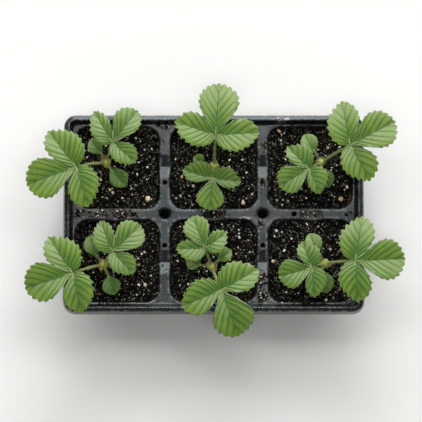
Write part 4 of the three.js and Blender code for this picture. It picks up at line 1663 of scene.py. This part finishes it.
@dataclass(frozen=True)
class Blade:
    """One leaflet: heading in degrees, length, half-widths left and right of the midrib, colour.

    Args:
        heading: direction of the midrib in plan, from +X towards +Y.
        length: from the joint to the tip.
        left, right: half-widths.
        tone: from 0, dark, to 1, light.
        grey: from 0, green, to 1, grey-green.
    """

    heading: float
    length: float
    left: float
    right: float
    tone: float = 0.5
    grey: float = 0.0

    def width(self, side: int) -> float:
        """The half-width on a side, 1 for the left and -1 for the right."""
        return self.left if side > 0 else self.right

    def outline(self, form: BladeForm, side: int, lopsided: bool) -> OutlineForm:
        """How the edge of one half runs, by the kind of leaflet."""
        if form is LeafClass.YOUNG.value:
            return Outline.OVAL.value
        if not lopsided:
            return Outline.END.value
        fuller = self.width(side) == max(self.left, self.right)
        return Outline.FULL.value if fuller else Outline.NARROW.value

    def margin(self, form: BladeForm, side: int, lopsided: bool, random: Random) -> Margin:
        """The edge of one half, with the midrib along +X and the stalk end at the origin.

        The plain edge is x = length * sin(pi v / 2), y = width * swell(x / length), taken at even
        steps of its own length. It moves in square to itself by what a tooth lacks.

        Args:
            form: the leaf class's form.
            side: 1 for the left half, -1 for the right.
            lopsided: True for a side leaflet, whose wider half is the fuller one.
            random: the source of chance.

        Returns:
            The edge, on the +Y side.
        """
        outline = self.outline(form, side, lopsided)
        along = np.sin(np.pi / 2 * np.linspace(0, 1, 400))
        swell = np.maximum(self.width(side) * outline.swell(along), form.stalk * (1 - 4 * along))
        edge = Line(np.stack([self.length * along, swell], -1))
        bare, toothed = outline.bare, 1 - outline.bare
        teeth = round(toothed * edge.arc[-1] / form.tooth_pitch - 0.5)
        step = toothed / (teeth + 0.5)
        first = math.ceil(-TOOTH_STEPS * bare / step + 0.05)
        numbers = np.arange(first, TOOTH_STEPS * teeth + TOOTH_STEPS // 2 + 1)
        turn = np.concatenate([[-bare / step], numbers / TOOTH_STEPS])
        way = np.clip(bare + step * turn, 0, 1)
        plain = edge.at(way)
        near = 0.008
        tangent = unit(edge.at(np.minimum(way + near, 1)) - edge.at(np.maximum(way - near, 0)))
        inward = np.stack([tangent[:, 1], -tangent[:, 0]], -1)
        depth = form.tooth_depth * outline.deeper * random.uniform(0.7, 1.3, teeth + 1)
        depth[0] *= 0.7
        number = np.clip(np.floor(turn + 0.25), 0, teeth).astype(int)
        lack = depth[number] * (1 - lobes(turn, teeth, 0.85 if lopsided else 0.15))
        return Margin(turn, way, plain, plain + inward * lack[:, None], outline.crowding)

    def plan(self, margin: Margin, t: Array) -> tuple[Array, Array]:
        """Plan points of one half in rows, and the gap between the veins at each.

        A row starts on the midrib at length * way^crowding and ends on the edge. The notches fade
        inward as t^5, and the row bows towards the stalk. The gap is the distance, square to the
        row, that a row moves as it passes one tooth.

        Args:
            margin: the half's edge.
            t: shares of a row, up to 1 at the edge.

        Returns:
            The points and the gaps, a row of each for each point of the edge.
        """
        way, mix = margin.way, t[None, :, None]
        start = np.stack([self.length * way**margin.crowding, np.zeros_like(way)], -1)
        flat = start[:, None] * (1 - mix) + margin.plain[:, None] * mix
        flat[..., 0] -= 0.022 * self.length * np.sin(np.pi * t)[None] * np.sin(np.pi * way)[:, None]
        along_row = unit(np.gradient(flat, t, axis=1))
        by_turn = np.gradient(flat, margin.turn, axis=0)
        gap = np.abs(by_turn[..., 0] * along_row[..., 1] - by_turn[..., 1] * along_row[..., 0])
        return flat + (margin.notched - margin.plain)[:, None] * mix**5, gap

    def pleat(self, form: BladeForm, margin: Margin, t: Array, gap: Array) -> Array:
        """How far the pleats lie above or below one half, lowest at the veins.

        The veins run to the peaks of the teeth. The pleats fade at the midrib's foot, the tip,
        the midrib and the edge, and where the veins are close together.

        Args:
            form: the leaf class's form.
            margin: the half's edge.
            t: shares of a row.
            gap: the gap between the veins at each point.

        Returns:
            One number for each point.
        """
        between = np.abs(np.sin(np.pi * (margin.turn - 0.75)))[:, None] ** 0.8 - 0.69
        fade = smooth_step(margin.way, 0.02, 0.12) * (1 - 0.6 * smooth_step(margin.way, 0.88, 1))
        fade = fade[:, None]
        return form.pleat * between * fade * np.clip(gap / 3, 0, 1) * np.sin(np.pi * t**0.75)[None]

    def half(
        self, form: BladeForm, margin: Margin, side: int, rib: Array, ripple: Array
    ) -> Surface:
        """One half of the blade between the midrib and its edge.

        Its height = the arched midrib's + fold y (0.9 - 0.4 (y / width)^2) + the pleat + slow waves
        along the edge, which grow as t^2, - 0.05 y t^6, by which the edge curls over.

        Args:
            form: the leaf class's form.
            margin: the half's edge.
            side: 1 for the left half, -1 for the right.
            rib: where the midrib's points lie along it, the same for both halves.
            ripple: the heights of four slow waves along the edge.

        Returns:
            The open half, facing up.
        """
        turn, way = margin.turn, margin.way
        t = np.linspace(0, 1, form.steps + 1)[1:] ** 0.9
        flat, gap = self.plan(margin, t)
        x, y = flat[..., 0], flat[..., 1]
        fold = form.fold * y * (0.9 - 0.4 * (y / self.width(side)) ** 2)
        waves = np.sin(2 * np.pi * np.arange(1, 5)[:, None] * way + 3.1 * ripple[:, None])
        wave = 0.006 * self.length * (ripple @ waves)[:, None] * (t**2)[None]
        curl = 0.05 * np.clip(margin.plain[:, 1:], 0, 6) * t**6
        z = self.arch(form, x) + fold + self.pleat(form, margin, t, gap) + wave - curl
        rib_points = np.stack([rib, np.zeros_like(rib), self.arch(form, rib)], -1)
        points = np.concatenate([rib_points, np.stack([x, side * y, z], -1).reshape(-1, 3)])
        rib_way = (rib / self.length) ** (1 / margin.crowding)
        rows, columns = flat.shape[:2]
        grid = len(rib) + np.arange(rows * columns).reshape(rows, columns)
        seam = zipped(np.arange(len(rib)), grid[:, 0], rib_way, way)
        triangles = np.concatenate([seam, sheet_triangles(rows, columns) + len(rib)])
        triangles = triangles if side > 0 else triangles[:, ::-1]
        u = np.concatenate([np.interp(rib_way, way, turn), np.repeat(turn, columns)]) / UV_TEETH
        v = np.concatenate([np.full(len(rib), 0.5), np.tile(0.5 + 0.5 * side * t, rows)])
        gap = np.concatenate([np.interp(rib_way, way, gap[:, 0]), gap.ravel()])
        half = Surface(points, triangles, np.stack([u, v], -1)[triangles])
        return half.marked(gap=gap, across=np.abs(points[:, 1]), reach=points[:, 0] / self.length)

    def arch(self, form: BladeForm, x: Array) -> Array:
        """The midrib's height, pitch x - droop x |x| / length, which rises and bends down again."""
        return form.pitch * x - form.droop * x * np.abs(x) / self.length

    def surface(self, form: BladeForm, joint: Array, lopsided: bool, random: Random) -> Surface:
        """The whole leaflet as a thin closed body at its joint.

        Args:
            form: the leaf class's form.
            joint: where its midrib starts.
            lopsided: True for a side leaflet.
            random: the source of chance.

        Returns:
            The closed leaflet with its marks.
        """
        margins = {side: self.margin(form, side, lopsided, random) for side in (1, -1)}
        starts = np.concatenate([self.length * m.way**m.crowding for m in margins.values()])
        rib = np.unique(np.round(starts / 0.08)) * 0.08
        rib = np.concatenate([rib[rib < self.length - 0.06], [self.length]])
        ripple = random.uniform(-1, 1, (2, 4))
        halves = [
            self.half(form, margin, side, rib, waves)
            for (side, margin), waves in zip(margins.items(), ripple)
        ]
        blade = welded(joined(halves), 0.0005)
        turn = math.radians(self.heading)
        cos, sin = math.cos(turn), math.sin(turn)
        spin = np.array([[cos, sin, 0], [-sin, cos, 0], [0, 0, 1]])
        # Painted sheen: a share that rises where the normal leans to the back and a little to the
        # right, towards the back lights
        lean = normals_of(blade.points, blade.triangles) @ spin @ np.array([0.2, 1.0, 0.0])
        blade.marked(bloom=smooth_step(lean, -0.08, 0.36) * min(1.0, form.pleat / 0.1))
        blade = thickened(blade, form.sheet)
        blade.points = blade.points @ spin + joint
        return blade.marked(tone=self.tone, grey=self.grey, veins=min(1.0, form.pleat / 0.2))


@dataclass(frozen=True)
class Leaf:
    """One leaf: a petiole from the crown to its joint, and one or three blades.

    Args:
        kind: its class.
        joint: where the blades meet, with its height.
        blades: the end leaflet first, then the side ones.
    """

    kind: LeafClass
    joint: Point
    blades: tuple[Blade, ...]

    def path(self, crown: Plan) -> Array:
        """The petiole's middle line: a quadratic curve that leaves the crown steeply.

        Args:
            crown: the plant's place in plan.

        Returns:
            26 points, (1-t)^2 start + 2t(1-t) bend + t^2 end.
        """
        foot = 49.2
        *place, z = self.joint
        away = np.array(place) - crown
        reach = math.hypot(*away)
        way = away / reach
        start = np.array([*(crown + 1.4 * way), foot - 0.6])
        bend = np.array([*(crown + (0.4 * reach + 1.7) * way), foot + 0.8 * (z - foot)])
        end = np.array([*(crown + (reach + 0.2) * way), z - self.kind.value.sheet / 2 - 0.1])
        t = np.linspace(0, 1, 26)[:, None]
        return (1 - t) ** 2 * start + 2 * t * (1 - t) * bend + t**2 * end

    def petiole(self, crown: Plan, random: Random) -> Surface:
        """The stalk with its fine hairs, and the small knob where the blades join it."""
        form = self.kind.value
        path = self.path(crown)
        t = np.linspace(0, 1, len(path))
        radii = form.stalk * (1.25 - 0.45 * t + 0.25 * np.exp(-(((t - 1) / 0.05) ** 2)))
        stalk = tube(path, radii, 12, 0.92).marked(hair=0.0)
        parts = [stalk, self.hairs(path, radii, random)]
        if len(self.blades) > 1:
            for blade in self.blades:
                turn = math.radians(blade.heading)
                way = np.array([math.cos(turn), math.sin(turn), form.pitch])
                line = np.array(self.joint) + np.linspace(-0.4, 3.2, 6)[:, None] * way
                line[:, 2] -= 0.25
                knob = tube(line, form.stalk * np.linspace(0.85, 0.25, 6), 8)
                parts.append(knob.marked(hair=0.3, along=1.0))
        return joined(parts)

    @staticmethod
    def hairs(path: Array, radii: Array, random: Random) -> Surface:
        """Fine white hairs: thin three-sided spikes that stand out of the stalk.

        A spike's foot is a small triangle on the stalk, and its tip is 0.7 to 1.4 mm outward.
        """
        count, thin = 110, 0.045
        place = random.uniform(0.06, 0.98, count) * (len(path) - 1)
        low = place.astype(int)
        share = (place - low)[:, None]
        middle = path[low] * (1 - share) + path[low + 1] * share
        along = unit(path[low + 1] - path[low])
        out = random.normal(size=(count, 3))
        out = unit(out - (out * along).sum(1, keepdims=True) * along)
        across = np.cross(out, along)
        foot = middle + out * radii[low][:, None] * 0.9
        length = random.uniform(0.7, 1.4, (count, 1))
        tip = foot + out * length + along * random.uniform(-0.3, 0.5, (count, 1))
        left, right = along * 0.5 + across * 0.87, along * 0.5 - across * 0.87
        corners = [foot + thin * along, foot - thin * left, foot - thin * right, tip]
        faces = np.array([[0, 2, 1], [0, 1, 3], [1, 2, 3], [2, 0, 3]])
        triangles = (faces + 4 * np.arange(count)[:, None, None]).reshape(-1, 3)
        spikes = Surface(np.stack(corners, 1).reshape(-1, 3), triangles)
        return spikes.marked(hair=0.8, along=0.9)

    def surface(self, crown: Plan, random: Random) -> Surface:
        """The whole leaf: blades in the first material slot and stalk in the second."""
        parts = []
        for number, blade in enumerate(self.blades):
            joint = np.array(self.joint) + [0.0, 0.0, 0.4 if number == 0 else 0.0]
            parts.append(blade.surface(self.kind.value, joint, number > 0, random))
        return joined([*parts, self.petiole(crown, random).in_slot(1)])


@dataclass(frozen=True)
class Plant:
    """One strawberry plant: a crown with its bracts, a large leaf, a mid leaf and young ones.

    Args:
        name: its cell's name.
        crown: its place in plan.
        large, mid: the two leaves with three blades.
        young: the small single blades.
    """

    name: str
    crown: Plan
    large: Leaf
    mid: Leaf
    young: tuple[Leaf, ...]

    def leaves(self) -> dict[str, Leaf]:
        """Every leaf by its node's name without the place."""
        named = {"large_leaf": self.large, "mid_leaf": self.mid}
        return named | {f"young_leaf_{n + 1}": leaf for n, leaf in enumerate(self.young)}

    def stem(self, random: Random) -> Surface:
        """The crown: a lumpy dome, radius by height, with ridges where the leaf bases meet.

        Radius = profile(height) * (1 + 0.12 sin(3 turn + a) + 0.07 sin(5 turn + b)).
        """
        heights = np.array([38.0, 42.0, 45.0, 47.0, 49.0, 50.3, 51.2, 51.7, 51.8])
        profile = np.array([2.3, 2.5, 2.7, 2.9, 2.8, 2.3, 1.6, 0.8, 0.0])
        turn = np.linspace(0, 2 * np.pi, 24, endpoint=False)
        a, b = random.uniform(0, 6.28, 2)
        lumps = 1 + 0.12 * np.sin(3 * turn + a) + 0.07 * np.sin(5 * turn + b)
        radius = profile[None] * lumps[:, None]
        x = self.crown[0] + radius * np.cos(turn)[:, None]
        y = self.crown[1] + radius * np.sin(turn)[:, None]
        z = np.broadcast_to(heights, x.shape)
        points = np.stack([x, y, z], -1).reshape(-1, 3)
        foot = np.array([[*self.crown, heights[0]]])
        sides = sheet_triangles(len(turn), len(heights), closed=True)
        rim = np.arange(len(turn)) * len(heights)
        closing = np.stack([np.roll(rim, -1), rim, np.full(len(turn), len(points))], -1)
        body = Surface(np.concatenate([points, foot]), np.concatenate([sides, closing]))
        return welded(body, 1e-4).marked(along=0.35, hair=0.0)

    def bract(self, heading: float, random: Random) -> Surface:
        """A stipule: a pointed sheath that wraps the crown and bends outward at its tip.

        l goes from foot to tip and w across, from -1 to 1. The half angle that it spans is
        0.75 (1 - l^1.6), its distance from the axis is 2.9 + lean l^2 + 0.25 |w| l, and its
        height is 46.5 + size (7 l - 1.6 l^2). Size and lean are set by chance.
        """
        l, w = np.meshgrid(np.linspace(0, 1, 12), np.linspace(-1, 1, 9), indexing="ij")
        size, lean = random.uniform(0.6, 0.95), random.uniform(0.4, 1.3)
        turn = heading + w * 0.75 * (1 - l**1.6) + 0.15 * l
        away = 2.9 + lean * l**2 + 0.25 * np.abs(w) * l
        height = 46.5 + size * (7.0 * l - 1.6 * l**2)
        x, y = self.crown[0] + away * np.cos(turn), self.crown[1] + away * np.sin(turn)
        points = np.stack([x, y, height], -1).reshape(-1, 3)
        shape = Surface(points, sheet_triangles(*l.shape)[:, ::-1]).marked(along=l.ravel())
        return thickened(welded(shape, 1e-4), 0.18).marked(tone=random.uniform(-0.1, 0.5))

    def crown_surface(self, random: Random) -> Surface:
        """The crown in the first material slot, with bracts in the second."""
        bracts = []
        for leaf in self.leaves().values():
            way = math.atan2(leaf.joint[1] - self.crown[1], leaf.joint[0] - self.crown[0])
            aside = random.choice([-1, 1]) * random.uniform(0.3, 0.7)
            bracts.append(self.bract(way + aside, random).in_slot(1))
        return joined([self.stem(random), *bracts])

    def build(self, shop: Workshop) -> None:
        """Adds the plant's leaves and crown to the scene."""
        number = PLANTS.index(self)
        for order, (label, leaf) in enumerate(self.leaves().items()):
            random = np.random.default_rng(LEAF_SEED + 10 * number + order)
            node = f"{label}_{self.name}"
            slot = "young_leaf" if label.startswith("young") else label
            surface = leaf.surface(self.crown, random)
            shop.piece(f"green_{node}", surface, [LeafSkin(), StalkSkin()], slot, node)
        crown = self.crown_surface(np.random.default_rng(CROWN_SEED + number))
        skin = StalkSkin("crown_skin", (0.400, 0.450, 0.090), (0.430, 0.370, 0.080))
        finishes = [skin, PaperyBract()]
        shop.piece(f"stem_base_{self.name}", crown, finishes, "crown", f"crown_{self.name}")


def leaf_of(kind: LeafClass, joint: Point, *blades: tuple[float, ...]) -> Leaf:
    """A leaf from plain numbers, each blade as heading, length, widths, tone and grey."""
    return Leaf(kind, joint, tuple(Blade(*blade) for blade in blades))


LARGE, MID, YOUNG = LeafClass.LARGE, LeafClass.MID, LeafClass.YOUNG

PLANTS = (
    Plant(
        "back_left", (-68.4, 33),
        leaf_of(LARGE, (-85.7, 26.8, 79), (-160, 32.8, 13.2, 13.1, 0.62),
                (128, 28.9, 9.2, 13.7, 0.62), (-73, 26, 12.2, 9.8, 0.6)),
        leaf_of(MID, (-63.7, 43.8, 65), (52, 25.8, 10.1, 8, 0.5, 0.15),
                (-41, 19.4, 7.6, 8.5, 0.5, 0.15), (121, 23.3, 9.3, 5.8, 0.45, 0.2)),
        (leaf_of(YOUNG, (-71.1, 37.8, 54.5), (129, 11.5, 5.1, 5.1, 0.4, 0.45)),
         leaf_of(YOUNG, (-65.1, 27.9, 53.5), (-49, 14.5, 6, 6, 0.05))),
    ),
    Plant(
        "back_middle", (0.2, 30.4),
        leaf_of(LARGE, (1.1, 46.4, 81), (86, 33.1, 12.3, 13.7, 0.7),
                (4, 27.6, 9.7, 12, 0.6), (161, 27.1, 11.6, 9.9, 0.6)),
        leaf_of(MID, (-1.1, 20.9, 66), (-93, 20.1, 8.6, 9.8, 0.55, 0.15),
                (163, 19.4, 6.3, 8.8, 0.35), (-6, 18.4, 8.7, 5.9, 0.35)),
        (leaf_of(YOUNG, (-5.6, 31.3, 55), (149, 8.5, 4.1, 4.1, 0.5)),),
    ),
    Plant(
        "back_right", (68.2, 33),
        leaf_of(LARGE, (84.9, 40.6, 78), (28, 32.4, 12.4, 12.4, 0.65),
                (-61, 25.5, 11, 12, 0.6, 0.1), (100, 28.4, 12.9, 9.3, 0.65)),
        leaf_of(MID, (59.7, 27.4, 65), (-148, 22, 9.1, 9.6, 0.45, 0.15),
                (134, 19.4, 6, 9.6, 0.4, 0.1), (-66, 17.5, 10.2, 5.2, 0.45, 0.2)),
        (leaf_of(YOUNG, (64.2, 39, 55), (123, 13, 5.7, 5.7, 0.6, 0.7)),
         leaf_of(YOUNG, (68, 28.2, 53.5), (-67, 13, 5.7, 5.7, 0.05))),
    ),
    Plant(
        "front_left", (-70, -31.9),
        leaf_of(LARGE, (-87.5, -39.3, 79), (-162, 31.1, 12.4, 13.1, 0.5),
                (124, 27.3, 9.2, 13, 0.6), (-77, 25.4, 11.7, 9.6, 0.5)),
        leaf_of(MID, (-63.5, -24.9, 66), (42, 24.4, 10, 9.9, 0.45, 0.1),
                (-47, 19.4, 8, 8.5, 0.5, 0.15), (112, 20.9, 9.6, 5.9, 0.5, 0.1)),
        (leaf_of(YOUNG, (-74, -27, 54.5), (111, 13.5, 5.7, 5.7, 0.3, 0.4)),
         leaf_of(YOUNG, (-66.4, -39.7, 53.5), (-72, 12.5, 6, 6, 0.05))),
    ),
    Plant(
        "front_middle", (-1.4, -33.5),
        leaf_of(LARGE, (4.5, -50.1, 80), (-69, 30.3, 14.5, 12.4, 0.42),
                (-158, 26.7, 10, 12.2, 0.45), (30, 26.6, 12.9, 9, 0.5)),
        leaf_of(MID, (-5.3, -22.9, 66), (112, 21.8, 9.2, 8, 0.55, 0.1),
                (36, 16.8, 5.9, 8.5, 0.45, 0.1), (-178, 18.4, 8.9, 6, 0.4, 0.1)),
        (leaf_of(YOUNG, (2.7, -30.2, 55), (40, 11, 4.4, 4.4, 0.5, 0.2)),
         leaf_of(YOUNG, (-8, -32.7, 54), (162, 10, 5.1, 5.1, 0.35, 0.5))),
    ),
    Plant(
        "front_right", (70.4, -31.3),
        leaf_of(LARGE, (87.6, -31.5, 79), (2, 31.4, 13, 13.4, 0.5),
                (-86, 25.9, 9.6, 11.9, 0.45), (80, 28.3, 12.8, 9.9, 0.55)),
        leaf_of(MID, (61.3, -35, 65), (-164, 21.6, 9.9, 9.2, 0.35, 0.1),
                (110, 17.5, 6, 9, 0.35, 0.1), (-84, 18.9, 9.2, 5.6, 0.35, 0.1)),
        (leaf_of(YOUNG, (65.9, -25.1, 55), (115, 13.5, 5.7, 5.7, 0.55, 0.75)),
         leaf_of(YOUNG, (67.7, -36.5, 53.5), (-75, 14.5, 6.3, 6.3, 0.08))),
    ),
)


# ------------------------------------------------------------------- studio


@dataclass(frozen=True)
class Light:
    """A soft rectangular light that looks at the plants and isn't seen itself.

    Args:
        name: its name.
        place: where it hangs, in metres.
        size: its width and height, in metres.
        power: how strong it is, in watts.
        colour: its colour.
    """

    name: str
    place: Point
    size: Plan
    power: float
    colour: Colour

    def hang(self, target: Point) -> None:
        """Adds the light to the scene, turned to a target."""
        lamp = bpy.data.lights.new(self.name, "AREA")
        lamp.shape = "RECTANGLE"
        lamp.size, lamp.size_y = self.size
        lamp.energy, lamp.color = self.power, self.colour
        made = linked(self.name, lamp)
        made.location = self.place
        made.visible_camera = False
        direction = Vector(target) - Vector(self.place)
        made.rotation_euler = direction.to_track_quat("-Z", "Y").to_euler()


WARM, COOL = (1.0, 0.99, 0.97), (0.98, 0.99, 1.0)

LIGHTS = (
    Light("front_panel", (0.0, -0.25, 1.6), (0.5, 0.22), 4.0, WARM),
    Light("back_panel", (0.0, 0.9, 2.3), (1.0, 0.7), 7.5, WARM),
    Light("right_box", (0.5, 0.3, 0.93), (0.6, 0.6), 2.0, WARM),
    Light("left_box", (-0.5, 0.3, 0.93), (0.6, 0.6), 1.5, WARM),
    Light("high_window", (0.0, 2.7, 2.5), (1.6, 1.2), 46.0, COOL),
    Light("low_window", (0.0, 2.6, 1.25), (1.8, 0.8), 18.0, COOL),
    Light("near_lamp", (0.0, 0.13, 0.62), (0.16, 0.07), 0.28, (0.97, 0.99, 1.0)),
)


@dataclass
class Studio:
    """The pale floor, the soft daylight from the back and the camera high over the front.

    Args:
        elevation: the camera's angle above the horizon, in degrees.
        distance: from the camera to what it looks at, in metres.
        lens: focal length in millimetres, on a sensor 36 mm wide.
        aim: what it looks at, in millimetres from the tray's centre at the rim's height.
        floor_half: half the floor's width, in millimetres.
        lit: what the lights look at, in metres.
    """

    elevation: float = 85.0
    distance: float = 1.4
    lens: float = 189.0
    aim: Plan = (-1.7, 1.37)
    floor_half: float = 1500.0
    lit: Point = (0.0, 0.0, 0.03)

    def floor(self, shop: Workshop) -> None:
        """A level square under the tray."""
        plan = [[-1, -1, 0], [1, -1, 0], [1, 1, 0], [-1, 1, 0]]
        square = Surface(self.floor_half * np.array(plan), np.array([[0, 1, 2], [0, 2, 3]]))
        shop.add("studio_floor", square, [WhiteFloor()])

    def sky(self) -> None:
        """A pale surround: bright low down at the back, dim at the front and overhead.

        Strength = 0.07 + (a rise with the direction's y + a smaller one with -y) * a fall with z.
        """
        world = bpy.data.worlds.new("pale_room")
        world.use_nodes = True
        w = Wiring(world.node_tree)
        background = world.node_tree.nodes["Background"]
        _, y, z = w.parts(w.node("TexCoord").outputs["Generated"])
        both = w.plus(w.rise(y, 0.2, 0.6, 0.0, 0.9), w.rise(y, -0.6, -0.2, 0.35, 0.0))
        w.feed(background.inputs["Color"], (1.0, 0.995, 0.98))
        w.feed(background.inputs["Strength"], w.scaled(both, w.fall(z, 0.62, 0.88), 0.07))
        bpy.context.scene.world = world

    def camera(self, middle: Array) -> None:
        """The camera, turned so that the tray's long side is level in the picture."""
        lens = bpy.data.cameras.new("photo_camera")
        lens.lens, lens.sensor_width = self.lens, 36.0
        lens.clip_start, lens.clip_end = 0.1, 20.0
        made = linked("photo_camera", lens)
        angle = math.radians(self.elevation)
        x, y = middle[:2] + np.array(self.aim) * MM
        back = Vector((0, -math.cos(angle), math.sin(angle))) * self.distance
        made.location = Vector((x, y, RIM_TOP * MM)) + back
        made.rotation_euler = (math.radians(90) - angle, 0, 0)
        bpy.context.scene.camera = made

    def build(self, shop: Workshop) -> None:
        """Sets up the floor, lights, surround, camera and plain colours."""
        self.floor(shop)
        for light in LIGHTS:
            light.hang(self.lit)
        self.sky()
        self.camera(shop.middle)
        view = bpy.context.scene.view_settings
        view.view_transform, view.look = "Standard", "None"


def main() -> None:
    """Builds the tray, the soil, the plants and the studio in order."""
    logging.basicConfig(level=logging.INFO, format="%(name)s: %(message)s")
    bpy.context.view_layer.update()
    low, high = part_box("tray")
    shop = Workshop(np.array((low + high) / 2), Effects())
    tray = Tray()
    tray.build(shop)
    for cell, plant in zip(CELLS, PLANTS):
        SoilFill(cell, plant.crown, tray).build(shop)
        plant.build(shop)
    Spill(tray).build(shop)
    Studio().build(shop)


if __name__ == "__main__":
    main()
